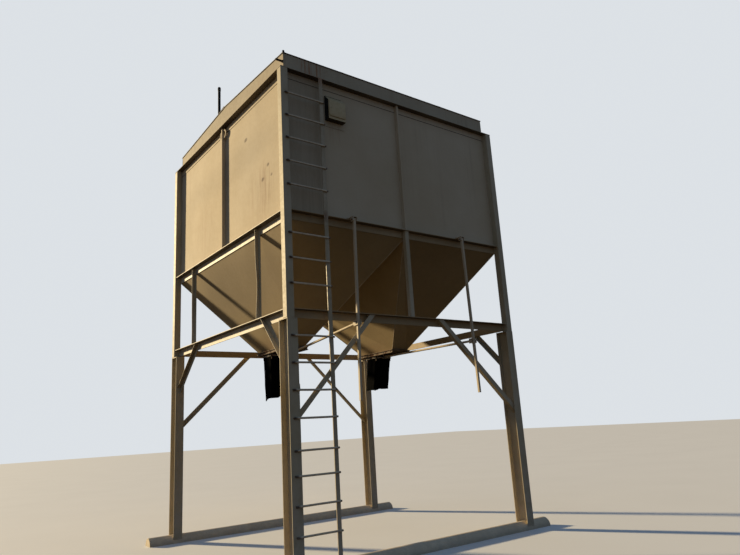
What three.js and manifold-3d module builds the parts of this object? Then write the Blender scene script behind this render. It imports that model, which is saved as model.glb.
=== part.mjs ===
import * as THREE from 'three';
import { mergeVertices } from 'three/addons/utils/BufferGeometryUtils.js';
import Module from 'manifold-3d';

// An overhead feed bin of welded steel: a square box on four legs and two pipe skids, with twin
// hoppers, a slide gate and a rubber skirt under each, and a pull lever that works each gate
// from in front of the bin. A ladder climbs the left corner of the front.
// Millimetres, +Z up, the ground at z = 0, the front faces -Y and the ladder is at -X.

const wasm = await Module();
wasm.setup();

// Plan, measured from the centre line of the box.
const POST_PLANE = 1900; // outer faces of the corner posts
const POST_SIZE = 100;
const PANEL_PLANE = 1808; // outer faces of the wall sheets
const WALL_SHEET = 5;
const CAP_PLANE = 1805; // outer faces of the cap above the flange
const CAP_SHEET = 4;
const SEAT_GAP = 0.3; // between pieces cut to a neighbour's shape

// Levels above the ground.
const POST_FOOT = 2760;
const LOWER_BEAM_TOP = 2876;
const BOX_BEAM_TOP = 4076;
const LAP_BAND_FOOT = 5870;
const FLANGE_FOOT = 5957;
const EAVES = 6220;
const RIDGE_RISE = 110;

// Pipe skids, sunk to half their height.
const SKID_RADIUS = 109.5;
const SKID_CENTRE_Z = 5;
const SKID_Y = 1800;
const SKID_HALF_LENGTH = 2240;

// Legs of wide-flange section, flanges facing front and rear.
const LEG_DEPTH = 200;
const LEG_WIDTH = 133;
const LEG_FLANGE = 8.4;
const LEG_WEB = 5.8;
const LEG_CAP = 10;

// Ring beams of angle section: one leg lies on top and points out, the other hangs down.
const BEAM_SET_BACK = 10;
const BEAM_DEPTH = 102;
const BEAM_THICK = 10;

// Square-tube struts and braces, tucked under the top leg of the ring beams.
const TUBE = 64;
const STRUT = 56;

// Hoppers and the gear under them, each set about its own centre line.
const HOPPER_CENTRE_X = 945;
const OUTLET_HALF_WIDTH = 145;
const OUTLET_FRONT_Y = -390;
const OUTLET_REAR_Y = 420;
const OUTLET_Z = 2660;
const HOPPER_WALL = 7; // thickness measured level, about 5 square to the sheet
const HOPPER_LIP = 82;

const RAIL_OUTER = 178;
const RAIL_LENGTH = 860;
const RAIL_FOOT = 2614;
const LEDGE_TOP = 2628;
const SPOUT_FOOT = 2540;
const SPOUT_FRONT_Y = 37;
const SPOUT_REAR_Y = 293;
const SPOUT_OUTER = 148;
const SPOUT_WALL = 8;

const SKIRT_TOP = 2612;
const SKIRT_WALL = 6;

// Pull gear: a lever hung in front of the box pulls a rod that draws the slide gate forwards.
const PIVOT_Y = -1970;
const PIVOT_Z = 4046;
const LUG_Y = -25;
const LEVER_HALF = 16;
const PIN_RADIUS = 8;
const HOLE_RADIUS = 8.3;
const ROD_RADIUS = 16;

// Ladder: the corner post is its left stile and a flat bar its right one.
const RUNG_PITCH = 304.8;
const RUNG_TOP = 5603;
const RUNG_COUNT = 18;
const MISSING_RUNGS = [5, 9]; // the ring beams take their place
const LOW_RUNG = 14;
const LOW_RUNG_DROP = 40;
const RUNG_RADIUS = 12;
const STILE_LEFT_X = -1345;
const STILE_RIGHT_X = -1290;

// The levers stand further forward than the skid does behind, so the whole is set back by this
// much to bring the middle of its outline over the origin.
const DEPTH_SHIFT = 67.2;

const LOOKS = {
  tan: { color: 0xb9a284, roughness: 0.62, metalness: 0.15 },
  weathered: { color: 0x93836f, roughness: 0.8, metalness: 0.15 },
  dark: { color: 0x4a4238, roughness: 0.75, metalness: 0.3 },
  beige: { color: 0xd2c6ab, roughness: 0.6, metalness: 0.05 },
  black: { color: 0x161616, roughness: 0.7, metalness: 0.1 },
  rubber: { color: 0x121212, roughness: 0.85, metalness: 0 },
};

const bin = new THREE.Group();

function piece(name, geometry, look, parent = bin) {
  const mesh = new THREE.Mesh(geometry, new THREE.MeshStandardMaterial(LOOKS[look]));
  mesh.name = name;
  parent.add(mesh);
  return mesh;
}

// Joining and cutting.

function solid(geometry) {
  const bare = geometry.clone();
  bare.deleteAttribute('normal');
  bare.deleteAttribute('uv');
  const merged = mergeVertices(bare);
  return new wasm.Manifold(new wasm.Mesh({
    numProp: 3,
    vertProperties: merged.attributes.position.array,
    triVerts: new Uint32Array(merged.index.array),
  }));
}

function geometryOf(manifold) {
  const mesh = manifold.getMesh();
  const geometry = new THREE.BufferGeometry();
  geometry.setAttribute('position', new THREE.BufferAttribute(mesh.vertProperties, 3));
  geometry.setIndex(new THREE.BufferAttribute(mesh.triVerts, 1));
  geometry.computeVertexNormals();
  return geometry;
}

function join(...geometries) {
  return geometryOf(geometries.map(solid).reduce((sum, next) => sum.add(next)));
}

function cut(geometry, ...tools) {
  return geometryOf(tools.map(solid).reduce((rest, tool) => rest.subtract(tool), solid(geometry)));
}

// Basic shapes.

function block([x0, x1], [y0, y1], [z0, z1]) {
  const box = new THREE.BoxGeometry(x1 - x0, y1 - y0, z1 - z0);
  return box.translate((x0 + x1) / 2, (y0 + y1) / 2, (z0 + z1) / 2);
}

function extruded(points, depth, holes = []) {
  const outline = new THREE.Shape(points.map(([a, b]) => new THREE.Vector2(a, b)));
  outline.holes = holes;
  return new THREE.ExtrudeGeometry(outline, { depth, bevelEnabled: false, curveSegments: 12 });
}

// A profile of [y, z] points, run along X.
function alongX(points, [x0, x1]) {
  const turn = new THREE.Matrix4().set(0, 0, 1, x0, 1, 0, 0, 0, 0, 1, 0, 0, 0, 0, 0, 1);
  return extruded(points, x1 - x0).applyMatrix4(turn);
}

// A profile of [x, z] points, run along Y.
function alongY(points, [y0, y1], holes) {
  const turn = new THREE.Matrix4().set(1, 0, 0, 0, 0, 0, -1, y1, 0, 1, 0, 0, 0, 0, 0, 1);
  return extruded(points, y1 - y0, holes).applyMatrix4(turn);
}

// A profile of [x, y] points, run along Z.
function alongZ(points, [z0, z1]) {
  return extruded(points, z1 - z0).translate(0, 0, z0);
}

function barAlongX(radius, [x0, x1], y, z, sides = 16) {
  const bar = new THREE.CylinderGeometry(radius, radius, x1 - x0, sides).rotateZ(Math.PI / 2);
  return bar.translate((x0 + x1) / 2, y, z);
}

// The box is square, so a piece drawn for the front is turned to the other sides.
const SIDES = { front: 0, right: 1, rear: 2, left: 3 };

function turned(geometry, side) {
  const cos = [1, 0, -1, 0][SIDES[side]];
  const sin = [0, 1, 0, -1][SIDES[side]];
  const turn = new THREE.Matrix4().set(cos, -sin, 0, 0, sin, cos, 0, 0, 0, 0, 1, 0, 0, 0, 0, 1);
  return geometry.clone().applyMatrix4(turn);
}

const CORNERS = {
  front_left: [-1, -1],
  front_right: [1, -1],
  rear_left: [-1, 1],
  rear_right: [1, 1],
};

// Skids: half-sunk pipes along the front and the rear.

function skidOutline(radius, floor) {
  const half = Math.acos(-(SKID_CENTRE_Z / radius)) - Math.PI / 2;
  const steps = 26;
  const points = [];
  for (let i = 0; i <= steps; i += 1) {
    const angle = -half + ((Math.PI + 2 * half) * i) / steps;
    points.push([radius * Math.cos(angle), SKID_CENTRE_Z + radius * Math.sin(angle)]);
  }
  points[0][1] = floor;
  points[steps][1] = floor;
  return points;
}

const skid = alongX(skidOutline(SKID_RADIUS, 0), [-SKID_HALF_LENGTH, SKID_HALF_LENGTH]);
piece('skid_front', skid, 'weathered').position.y = -SKID_Y;
piece('skid_rear', skid.clone(), 'weathered').position.y = SKID_Y;

function cutToSkid(geometry, skidY) {
  const reach = [-SKID_HALF_LENGTH, SKID_HALF_LENGTH];
  const saddle = alongX(skidOutline(SKID_RADIUS + SEAT_GAP, -20), reach).translate(0, skidY, 0);
  return cut(geometry, saddle);
}

// Legs: fish-mouthed to the skid, with a cap plate that carries the post and the ring beams.

function legGeometry() {
  const halfWidth = LEG_WIDTH / 2;
  const halfWeb = LEG_WEB / 2;
  const outer = LEG_DEPTH / 2;
  const inner = outer - LEG_FLANGE;
  const section = [
    [-halfWidth, -outer], [halfWidth, -outer], [halfWidth, -inner], [halfWeb, -inner],
    [halfWeb, inner], [halfWidth, inner], [halfWidth, outer], [-halfWidth, outer],
    [-halfWidth, inner], [-halfWeb, inner], [-halfWeb, -inner], [-halfWidth, -inner],
  ];
  const shaft = alongZ(section, [SKID_CENTRE_Z + 30, POST_FOOT - LEG_CAP + 1]);
  const cap = block([-halfWidth, halfWidth], [-outer, outer], [POST_FOOT - LEG_CAP, POST_FOOT]);
  return cutToSkid(join(shaft, cap), 0);
}

const postHalf = POST_SIZE / 2;
const post = block([-postHalf, postHalf], [-postHalf, postHalf], [POST_FOOT, FLANGE_FOOT]);
for (const [corner, [sideX, sideY]] of Object.entries(CORNERS)) {
  const legX = POST_PLANE - LEG_WIDTH / 2;
  const postX = POST_PLANE - postHalf;
  piece(`leg_${corner}`, legGeometry(), 'tan').position.set(sideX * legX, sideY * SKID_Y, 0);
  piece(`post_${corner}`, post.clone(), 'tan').position.set(sideX * postX, sideY * postX, 0);
}

// Ring beams between the posts.

function ringBeam(top) {
  const outer = -(POST_PLANE - BEAM_SET_BACK);
  const inner = -(POST_PLANE - POST_SIZE);
  const section = [
    [outer, top], [outer, top - BEAM_THICK], [inner - BEAM_THICK, top - BEAM_THICK],
    [inner - BEAM_THICK, top - BEAM_DEPTH], [inner, top - BEAM_DEPTH], [inner, top],
  ];
  const half = POST_PLANE - POST_SIZE;
  return alongX(section, [-half, half]);
}

// Wall sheets, each with a stiffener up its middle and a lap band along its top.

const STIFFENER_HALF = 12.5;
const STIFFENER_DEPTH = 58;
const BAND_PROUD = 5;

function wallGeometry(withLiftingRing) {
  const half = POST_PLANE - POST_SIZE;
  const face = -PANEL_PLANE;
  const sheet = block([-half, half], [face, face + WALL_SHEET], [BOX_BEAM_TOP, FLANGE_FOOT]);
  const band = block([-half, half], [face - BAND_PROUD, face + 2], [LAP_BAND_FOOT, FLANGE_FOOT]);
  const stiffener = block(
    [-STIFFENER_HALF, STIFFENER_HALF], [face - STIFFENER_DEPTH, face + 2], [BOX_BEAM_TOP, FLANGE_FOOT],
  );
  const parts = [sheet, band, stiffener];
  if (withLiftingRing) {
    parts.push(liftingRing(face - STIFFENER_DEPTH / 2));
  }
  return join(...parts);
}

// An oval ring of bar, held in the head of a side stiffener.
function liftingRing(middle) {
  const straight = 35;
  const bar = 20;
  const radius = 72;
  const centreZ = 5855;
  const oval = (r) => {
    const points = [];
    for (const side of [1, -1]) {
      for (let i = 0; i <= 8; i += 1) {
        const angle = (Math.PI * i) / 8 - (side * Math.PI) / 2;
        points.push([side * straight + r * Math.cos(angle), centreZ + r * Math.sin(angle)]);
      }
    }
    return points;
  };
  const reach = [middle - bar / 2, middle + bar / 2];
  const hole = alongY(oval(radius - bar), [reach[0] - 5, reach[1] + 5]);
  return cut(alongY(oval(radius), reach), hole);
}

for (const side of Object.keys(SIDES)) {
  piece(`lower_beam_${side}`, turned(ringBeam(LOWER_BEAM_TOP), side), 'tan');
  piece(`box_beam_${side}`, turned(ringBeam(BOX_BEAM_TOP), side), 'tan');
  const carriesRing = side === 'left' || side === 'right';
  piece(`wall_${side}`, turned(wallGeometry(carriesRing), side), 'tan');
}

// Top flange, cap and roof.

const FLANGE_THICK = 8;
const FLANGE_INNER = 1795;

function square(half) {
  return [[-half, -half], [half, -half], [half, half], [-half, half]];
}

const flangeLevels = [FLANGE_FOOT, FLANGE_FOOT + FLANGE_THICK];
const flangePlate = alongZ(square(POST_PLANE), flangeLevels);
const flangeHole = alongZ(square(FLANGE_INNER), [FLANGE_FOOT - 10, FLANGE_FOOT + 20]);
piece('top_flange', cut(flangePlate, flangeHole), 'tan');

const CAP_FOOT = FLANGE_FOOT + FLANGE_THICK;
const CAP_INNER = CAP_PLANE - CAP_SHEET;

function gable(halfWidth, foot, eaves, ridge) {
  return [[-halfWidth, foot], [halfWidth, foot], [halfWidth, eaves], [0, ridge], [-halfWidth, eaves]];
}

const capOutline = gable(CAP_PLANE, CAP_FOOT, EAVES, EAVES + RIDGE_RISE);
const capHollow = block([-CAP_INNER, CAP_INNER], [-CAP_INNER, CAP_INNER], [CAP_FOOT - 10, EAVES + 400]);
piece('cap', cut(alongX(capOutline, [-CAP_PLANE, CAP_PLANE]), capHollow), 'tan');

const ROOF_OVERHANG = 10;
const ROOF_SHEET = 10;
const ROOF_SLOPE = RIDGE_RISE / CAP_PLANE;

// The folded roof sheet; lift is how far its underside stands above the cap's top edge.
function roofGeometry(lift, thick) {
  const reach = CAP_PLANE + ROOF_OVERHANG;
  const edge = EAVES + lift - ROOF_OVERHANG * ROOF_SLOPE;
  const ridge = EAVES + RIDGE_RISE + lift;
  const section = [
    [-reach, edge], [0, ridge], [reach, edge],
    [reach, edge + thick], [0, ridge + thick], [-reach, edge + thick],
  ];
  return alongX(section.reverse(), [-reach, reach]);
}

piece('roof', roofGeometry(SEAT_GAP, ROOF_SHEET), 'dark');

// A black mast pipe stands on the roof by the left gable.
const MAST_X = -1750;
const MAST_Y = 360;
const MAST_TOP = 6860;
const MAST_RADIUS = 21;

function mastGeometry() {
  const foot = EAVES + 40;
  const height = MAST_TOP - foot;
  const pipe = new THREE.CylinderGeometry(MAST_RADIUS, MAST_RADIUS, height, 16).rotateX(Math.PI / 2);
  pipe.translate(MAST_X, MAST_Y, foot + height / 2);
  const roofTop = EAVES + ROOF_SHEET + SEAT_GAP + (CAP_PLANE - MAST_Y) * ROOF_SLOPE;
  const pad = block([MAST_X - 50, MAST_X + 50], [MAST_Y - 50, MAST_Y + 50], [roofTop - 12, roofTop + 12]);
  return cut(join(pipe, pad), roofGeometry(-200, 200 + ROOF_SHEET + 2 * SEAT_GAP));
}

piece('mast_pipe', mastGeometry(), 'black');

// Struts between the two rings. Places are along each side, seen as on the front.

function strutGeometry(place, width) {
  const outer = -(POST_PLANE - POST_SIZE + BEAM_THICK + width);
  const levels = [LOWER_BEAM_TOP, BOX_BEAM_TOP - BEAM_THICK];
  return block([place - width / 2, place + width / 2], [outer, outer + width], levels);
}

piece('strut_front', turned(strutGeometry(0, TUBE), 'front'), 'tan');
piece('strut_rear', turned(strutGeometry(0, TUBE), 'rear'), 'tan');
piece('strut_left_front', turned(strutGeometry(1070, STRUT), 'left'), 'tan');
piece('strut_left_rear', turned(strutGeometry(-1120, STRUT), 'left'), 'tan');

// Knee braces from the legs to the lower ring. Each is given by the side it lies in, the end of
// that side it starts from, the level where its middle meets the leg's edge, and its reach along
// the side from there to the foot of the beam.

const BRACES = [
  { name: 'brace_front_left', side: 'front', end: -1, level: 1670, reach: 1003 },
  { name: 'brace_front_right', side: 'front', end: 1, level: 1680, reach: 1157 },
  { name: 'brace_rear_left', side: 'rear', end: 1, level: 1670, reach: 1130 },
  { name: 'brace_rear_right', side: 'rear', end: -1, level: 1680, reach: 1110 },
  { name: 'brace_left_front', side: 'left', end: 1, level: 2310, reach: 390 },
  { name: 'brace_left_rear', side: 'left', end: -1, level: 2240, reach: 630 },
  { name: 'brace_right_front', side: 'right', end: -1, level: 2290, reach: 450 },
  { name: 'brace_right_rear', side: 'right', end: 1, level: 2240, reach: 630 },
];

function braceGeometry({ side, end, level, reach }) {
  const onFlange = side === 'left' || side === 'right';
  const legEdge = onFlange ? POST_PLANE - LEG_DEPTH : POST_PLANE - LEG_WIDTH;
  const seat = onFlange ? legEdge : POST_PLANE - (LEG_WIDTH - LEG_WEB) / 2 - LEG_WEB;
  const slope = (POST_FOOT - level) / reach;
  const rise = (TUBE / 2) * Math.hypot(1, slope);
  const underside = LOWER_BEAM_TOP - BEAM_THICK;
  const levelAt = (run) => level + (legEdge - run) * slope;
  const runAt = (height) => legEdge - (height - level) / slope;
  const points = [
    [seat, levelAt(seat) - rise],
    [seat, levelAt(seat) + rise],
    [runAt(underside - rise), underside],
    [runAt(underside + rise), underside],
  ];
  const outline = points.map(([run, height]) => [end * run, height]);
  if (end < 0) {
    outline.reverse();
  }
  const back = -(POST_PLANE - POST_SIZE + BEAM_THICK);
  return turned(alongY(outline.reverse(), [back - TUBE, back]), side);
}

for (const brace of BRACES) {
  piece(brace.name, braceGeometry(brace), 'tan');
}

// Hoppers: two rectangular funnels whose inner rims meet on the centre line of the box.

function frustum(low, high) {
  const corners = [low, high].flatMap(({ x, y, z }) => [
    [x[0], y[0], z], [x[1], y[0], z], [x[1], y[1], z], [x[0], y[1], z],
  ]);
  const faces = [
    [0, 2, 1], [0, 3, 2], [4, 5, 6], [4, 6, 7], [0, 1, 5], [0, 5, 4],
    [1, 2, 6], [1, 6, 5], [2, 3, 7], [2, 7, 6], [3, 0, 4], [3, 4, 7],
  ];
  const geometry = new THREE.BufferGeometry();
  geometry.setAttribute('position', new THREE.Float32BufferAttribute(corners.flat(), 3));
  geometry.setIndex(faces.flat());
  return geometry;
}

function hopperGeometry(side) {
  const rim = POST_PLANE - POST_SIZE;
  const rimZ = BOX_BEAM_TOP - BEAM_DEPTH;
  const spanX = side > 0 ? [0, rim] : [-rim, 0];
  const outletX = [side * HOPPER_CENTRE_X - OUTLET_HALF_WIDTH, side * HOPPER_CENTRE_X + OUTLET_HALF_WIDTH];
  const shrink = ([a, b]) => [a + HOPPER_WALL, b - HOPPER_WALL];
  const outlet = { x: outletX, y: [OUTLET_FRONT_Y, OUTLET_REAR_Y], z: OUTLET_Z };
  const top = { x: spanX, y: [-rim, rim], z: rimZ };
  const lip = block(spanX, [-rim, rim], [rimZ - 1, rimZ + HOPPER_LIP]);
  const outer = join(frustum(outlet, top), lip);
  const innerOutlet = { x: shrink(outlet.x), y: shrink(outlet.y), z: OUTLET_Z };
  const innerTop = { x: shrink(top.x), y: shrink(top.y), z: rimZ };
  const innerLip = block(innerTop.x, innerTop.y, [rimZ - 1, rimZ + HOPPER_LIP + 10]);
  const innerSlot = block(innerOutlet.x, innerOutlet.y, [OUTLET_Z - 10, OUTLET_Z + 1]);
  return cut(outer, join(frustum(innerOutlet, innerTop), innerLip, innerSlot));
}

// Gate frame: a floor plate with the orifice, two rails with ledges for the gate, a stop bar at
// the rear and a short spout for the skirt.

function gateFrameGeometry() {
  const front = -RAIL_LENGTH / 2;
  const rear = RAIL_LENGTH / 2;
  const run = [front, rear];
  const floorZ = OUTLET_Z - 10;
  const mouth = SPOUT_OUTER - SPOUT_WALL;
  const mouthY = [SPOUT_FRONT_Y + SPOUT_WALL, SPOUT_REAR_Y - SPOUT_WALL];
  const floor = cut(
    block([-RAIL_OUTER, RAIL_OUTER], run, [floorZ, OUTLET_Z]),
    block([-mouth + 6, mouth - 6], mouthY, [floorZ - 5, OUTLET_Z + 5]),
  );
  const spout = cut(
    block([-SPOUT_OUTER, SPOUT_OUTER], [SPOUT_FRONT_Y, SPOUT_REAR_Y], [SPOUT_FOOT, LEDGE_TOP - 6]),
    block([-mouth, mouth], mouthY, [SPOUT_FOOT - 5, LEDGE_TOP]),
  );
  const parts = [floor, spout, block([-RAIL_OUTER, RAIL_OUTER], [rear - 10, rear], [RAIL_FOOT, floorZ + 5])];
  for (const side of [-1, 1]) {
    const web = [side * RAIL_OUTER, side * (RAIL_OUTER - 10)].sort((a, b) => a - b);
    const ledge = [side * (RAIL_OUTER - 5), side * (SPOUT_OUTER - 2)].sort((a, b) => a - b);
    parts.push(block(web, run, [RAIL_FOOT, floorZ + 5]));
    parts.push(block(ledge, run, [LEDGE_TOP - 10, LEDGE_TOP]));
  }
  return join(...parts);
}

// Slide gate: a plate on the ledges with a lug below its front edge.

const GATE_FRONT_Y = 5;
const GATE_LENGTH = 320;
const GATE_HALF_WIDTH = 160;
const GATE_THICK = 10;
const LUG_HALF = 6;

function gateGeometry(lugZ) {
  const foot = LEDGE_TOP + SEAT_GAP;
  const plate = block(
    [-GATE_HALF_WIDTH, GATE_HALF_WIDTH], [GATE_FRONT_Y, GATE_FRONT_Y + GATE_LENGTH], [foot, foot + GATE_THICK],
  );
  const lugOutline = [
    [LUG_Y - 20, lugZ - 20], [LUG_Y + 20, lugZ - 20], [LUG_Y + 20, foot - 8],
    [GATE_FRONT_Y + 15, foot], [GATE_FRONT_Y + 15, foot + GATE_THICK], [LUG_Y - 20, foot + GATE_THICK],
  ];
  const lug = alongX(lugOutline, [-LUG_HALF, LUG_HALF]);
  return cut(join(plate, lug), barAlongX(HOLE_RADIUS, [-20, 20], LUG_Y, lugZ));
}

// Pull rod, drawn from the lug's pin along -Y: a fork on the lug and a slotted fork on the lever.

function rodGeometry(length) {
  const parts = [
    barAlongX(PIN_RADIUS, [-19, 19], 0, 0),
    block([-14, 14], [-50, -30], [-12, 12]),
    new THREE.CylinderGeometry(ROD_RADIUS, ROD_RADIUS, length - 90, 12).translate(0, -length / 2, 0),
    block([-29, 29], [-length + 45, -length + 62], [-20, 20]),
  ];
  for (const side of [-1, 1]) {
    const near = [side * 7, side * 14].sort((a, b) => a - b);
    const far = [side * 22, side * 29].sort((a, b) => a - b);
    parts.push(block(near, [-45, 18], [-15, 15]));
    parts.push(block(far, [-length - 30, -length + 60], [-34, 34]));
  }
  const slot = block([-40, 40], [-length - 11.5, -length + 11.5], [-18, 18]);
  return cut(join(...parts), slot);
}

// Lever, drawn from its pivot straight down, with the rod's pin through it.

function leverGeometry(length, pullRadius) {
  const half = LEVER_HALF;
  const tube = block([-half, half], [-half, half], [-length, half]);
  const pin = barAlongX(PIN_RADIUS, [-36, 36], 0, -pullRadius);
  return cut(join(tube, pin), barAlongX(HOLE_RADIUS, [-30, 30], 0, 0));
}

// Bracket: two cheeks under a plate on the box beam, with the lever's bolt through them.

function bracketGeometry() {
  const plate = block([-38, 38], [PIVOT_Y - 28, PIVOT_Y + 140], [BOX_BEAM_TOP, BOX_BEAM_TOP + 10]);
  const parts = [plate, barAlongX(PIN_RADIUS, [-42, 42], PIVOT_Y, PIVOT_Z)];
  for (const cheek of [[-32, -24], [24, 32]]) {
    parts.push(block(cheek, [PIVOT_Y - 28, PIVOT_Y + 28], [PIVOT_Z - 22, BOX_BEAM_TOP + 1]));
  }
  return join(...parts);
}

// Skirt: a rubber sleeve round the spout, open at both ends.

function skirtGeometry(foot) {
  const inner = SPOUT_OUTER + SEAT_GAP;
  const outer = inner + SKIRT_WALL;
  const innerY = [SPOUT_FRONT_Y - SEAT_GAP, SPOUT_REAR_Y + SEAT_GAP];
  const outerY = [innerY[0] - SKIRT_WALL, innerY[1] + SKIRT_WALL];
  const sleeve = block([-outer, outer], outerY, [foot, SKIRT_TOP]);
  return cut(sleeve, block([-inner, inner], innerY, [foot - 10, SKIRT_TOP + 10]));
}

// The two sides differ: one lever leans in and the other out, and the pull radius is how far
// below its lever's pivot each rod's pin stands.
const LEAN = (1.52 * Math.PI) / 180;
const PULL_SIDES = [
  { name: 'left', side: -1, lean: LEAN, pullRadius: 1306, lugZ: 2560, leverFoot: 1810, skirtFoot: 1960 },
  { name: 'right', side: 1, lean: -LEAN, pullRadius: 1472, lugZ: 2600, leverFoot: 1870, skirtFoot: 2070 },
];

for (const { name, side, lean, pullRadius, lugZ, leverFoot, skirtFoot } of PULL_SIDES) {
  piece(`hopper_${name}`, hopperGeometry(side), 'tan');
  const gear = new THREE.Group();
  gear.position.x = side * HOPPER_CENTRE_X;
  bin.add(gear);
  piece(`gate_frame_${name}`, gateFrameGeometry(), 'dark', gear);
  piece(`gate_${name}`, gateGeometry(lugZ), 'dark', gear);
  piece(`lever_bracket_${name}`, bracketGeometry(), 'tan', gear);
  piece(`skirt_${name}`, skirtGeometry(skirtFoot), 'rubber', gear);

  const leverLength = (PIVOT_Z - leverFoot) / Math.cos(lean);
  const lever = piece(`lever_${name}`, leverGeometry(leverLength, pullRadius), 'tan', gear);
  lever.position.set(0, PIVOT_Y, PIVOT_Z);
  lever.rotation.x = lean;

  const pinY = PIVOT_Y + pullRadius * Math.sin(lean);
  const pinZ = PIVOT_Z - pullRadius * Math.cos(lean);
  const rod = piece(`rod_${name}`, rodGeometry(Math.hypot(LUG_Y - pinY, pinZ - lugZ)), 'tan', gear);
  rod.position.set(0, LUG_Y, lugZ);
  rod.rotation.x = -Math.atan2(pinZ - lugZ, LUG_Y - pinY);
}

// Ladder: the right stile runs from the top flange to the skid, and each rung crosses in front of
// it from the face of the corner post or leg.

function ladderGeometry() {
  const face = -POST_PLANE;
  const stile = block([STILE_LEFT_X, STILE_RIGHT_X], [face - 2, face + 10], [30, FLANGE_FOOT]);
  const parts = [stile];
  for (let i = 0; i < RUNG_COUNT; i += 1) {
    if (!MISSING_RUNGS.includes(i)) {
      const drop = i === LOW_RUNG ? LOW_RUNG_DROP : 0;
      const level = RUNG_TOP - RUNG_PITCH * i - drop;
      parts.push(barAlongX(RUNG_RADIUS, [-1856, -1280], face - RUNG_RADIUS - SEAT_GAP, level, 8));
    }
  }
  return cutToSkid(join(...parts), -SKID_Y);
}

piece('ladder', ladderGeometry(), 'tan');

// A small hooded box high on the front wall, beside the ladder: a black housing whose top slopes
// down from the wall, with a thin cover plate on its face.

const HOOD_X = [-1205, -935];
const HOOD_FOOT = 5425;
const HOOD_HEAD = 5787;
const HOOD_BROW = 5696;
const HOOD_FACE = -1898;
const COVER_THICK = 12;
const COVER_X = [-1199, -941];
const COVER_Z = [5460, 5690];
const hoodSection = [
  [HOOD_FACE, HOOD_BROW], [HOOD_FACE, HOOD_FOOT], [-PANEL_PLANE, HOOD_FOOT], [-PANEL_PLANE, HOOD_HEAD],
];
piece('hood_box', alongX(hoodSection, HOOD_X), 'black');
piece('hood_cover', block(COVER_X, [HOOD_FACE - COVER_THICK, HOOD_FACE], COVER_Z), 'beige');

bin.position.y = DEPTH_SHIFT;

export default bin;
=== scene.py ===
import math
import random

import bmesh
import bpy
from mathutils import Matrix, Vector


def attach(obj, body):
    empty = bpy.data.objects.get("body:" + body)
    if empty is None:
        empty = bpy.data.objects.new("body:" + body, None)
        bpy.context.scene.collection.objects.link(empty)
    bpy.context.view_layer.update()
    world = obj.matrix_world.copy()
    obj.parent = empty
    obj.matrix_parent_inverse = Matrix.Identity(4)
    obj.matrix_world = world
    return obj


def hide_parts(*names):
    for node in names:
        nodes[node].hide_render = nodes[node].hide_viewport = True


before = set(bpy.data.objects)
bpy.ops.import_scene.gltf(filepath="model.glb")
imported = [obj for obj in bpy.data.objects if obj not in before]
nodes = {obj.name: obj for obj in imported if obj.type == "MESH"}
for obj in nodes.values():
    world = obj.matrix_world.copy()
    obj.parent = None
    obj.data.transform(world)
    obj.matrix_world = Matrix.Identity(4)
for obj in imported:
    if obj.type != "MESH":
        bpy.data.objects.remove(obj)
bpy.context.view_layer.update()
scene = bpy.context.scene

# The bin is seen from low down by its front left corner. It stands on a plain pale floor, with
# one low warm light from behind and a little to the left, and an even cooler light all round.

EYE = Vector((-5.252, -7.842, 1.496))
EYE_YAW = math.radians(37.167)
EYE_PITCH = math.radians(13.711)
EYE_ROLL = math.radians(-3.44)
EYE_LENS = 29.845


def direction(turn, rise):
    """The direction straight back, turned level to the right and then raised."""
    return Vector((math.sin(turn) * math.cos(rise), math.cos(turn) * math.cos(rise), math.sin(rise)))


ahead = direction(EYE_YAW, EYE_PITCH)
level_right = ahead.cross(Vector((0, 0, 1))).normalized()
level_up = level_right.cross(ahead)
eye_right = math.cos(EYE_ROLL) * level_right + math.sin(EYE_ROLL) * level_up
eye_up = math.cos(EYE_ROLL) * level_up - math.sin(EYE_ROLL) * level_right
camera_data = bpy.data.cameras.new("camera")
camera_data.sensor_width = 36
camera_data.lens = EYE_LENS
camera_data.clip_end = 300
camera = bpy.data.objects.new("camera", camera_data)
camera.matrix_world = Matrix.Translation(EYE) @ Matrix((eye_right, eye_up, -ahead)).transposed().to_4x4()
scene.collection.objects.link(camera)
scene.camera = camera
scene.view_settings.view_transform = "Standard"


def add(tree, kind, values=None, **settings):
    """Puts one shader node in a tree; a value that is a socket is linked."""
    node = tree.nodes.new("ShaderNode" + kind)
    for key, value in settings.items():
        setattr(node, key, value)
    for socket, value in (values or {}).items():
        if isinstance(value, bpy.types.NodeSocket):
            tree.links.new(value, node.inputs[socket])
        else:
            node.inputs[socket].default_value = value
    return node


def blend_colours(tree, mask, first, second):
    node = add(tree, "Mix", {"Factor": mask, 6: first, 7: second}, data_type="RGBA")
    return node.outputs[2]


def surface_place(tree):
    """The place of each point of the surface, in metres."""
    return add(tree, "TexCoord").outputs["Object"]


def bare_material(name):
    """A new material with nothing in it yet, and its tree."""
    material = bpy.data.materials.new(name)
    material.use_nodes = True
    material.node_tree.nodes.clear()
    return material, material.node_tree


def finish_material(tree, values):
    """Adds the shader that takes the material's values, and its output."""
    principled = add(tree, "BsdfPrincipled", values)
    output = tree.nodes.new("ShaderNodeOutputMaterial")
    tree.links.new(principled.outputs["BSDF"], output.inputs["Surface"])


FLOOR_TONES = ((0.83, 0.83, 0.82, 1), (0.89, 0.89, 0.88, 1))
FLOOR_BOUNCE = (0.105, 0.078, 0.045, 1)  # the dull colour that the floor throws back on the bin
floor_paint, tree = bare_material("floor_paint")
clouds = add(tree, "TexNoise", {"Vector": surface_place(tree), "Scale": 0.6, "Detail": 3.0})
tone = add(tree, "ValToRGB", {"Fac": clouds.outputs["Fac"]})
for stop, colour in zip(tone.color_ramp.elements, FLOOR_TONES):
    stop.color = colour
straight = add(tree, "LightPath").outputs["Is Camera Ray"]
floor_colour = blend_colours(tree, straight, FLOOR_BOUNCE, tone.outputs["Color"])
finish_material(tree, {"Base Color": floor_colour, "Roughness": 0.9})

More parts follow.
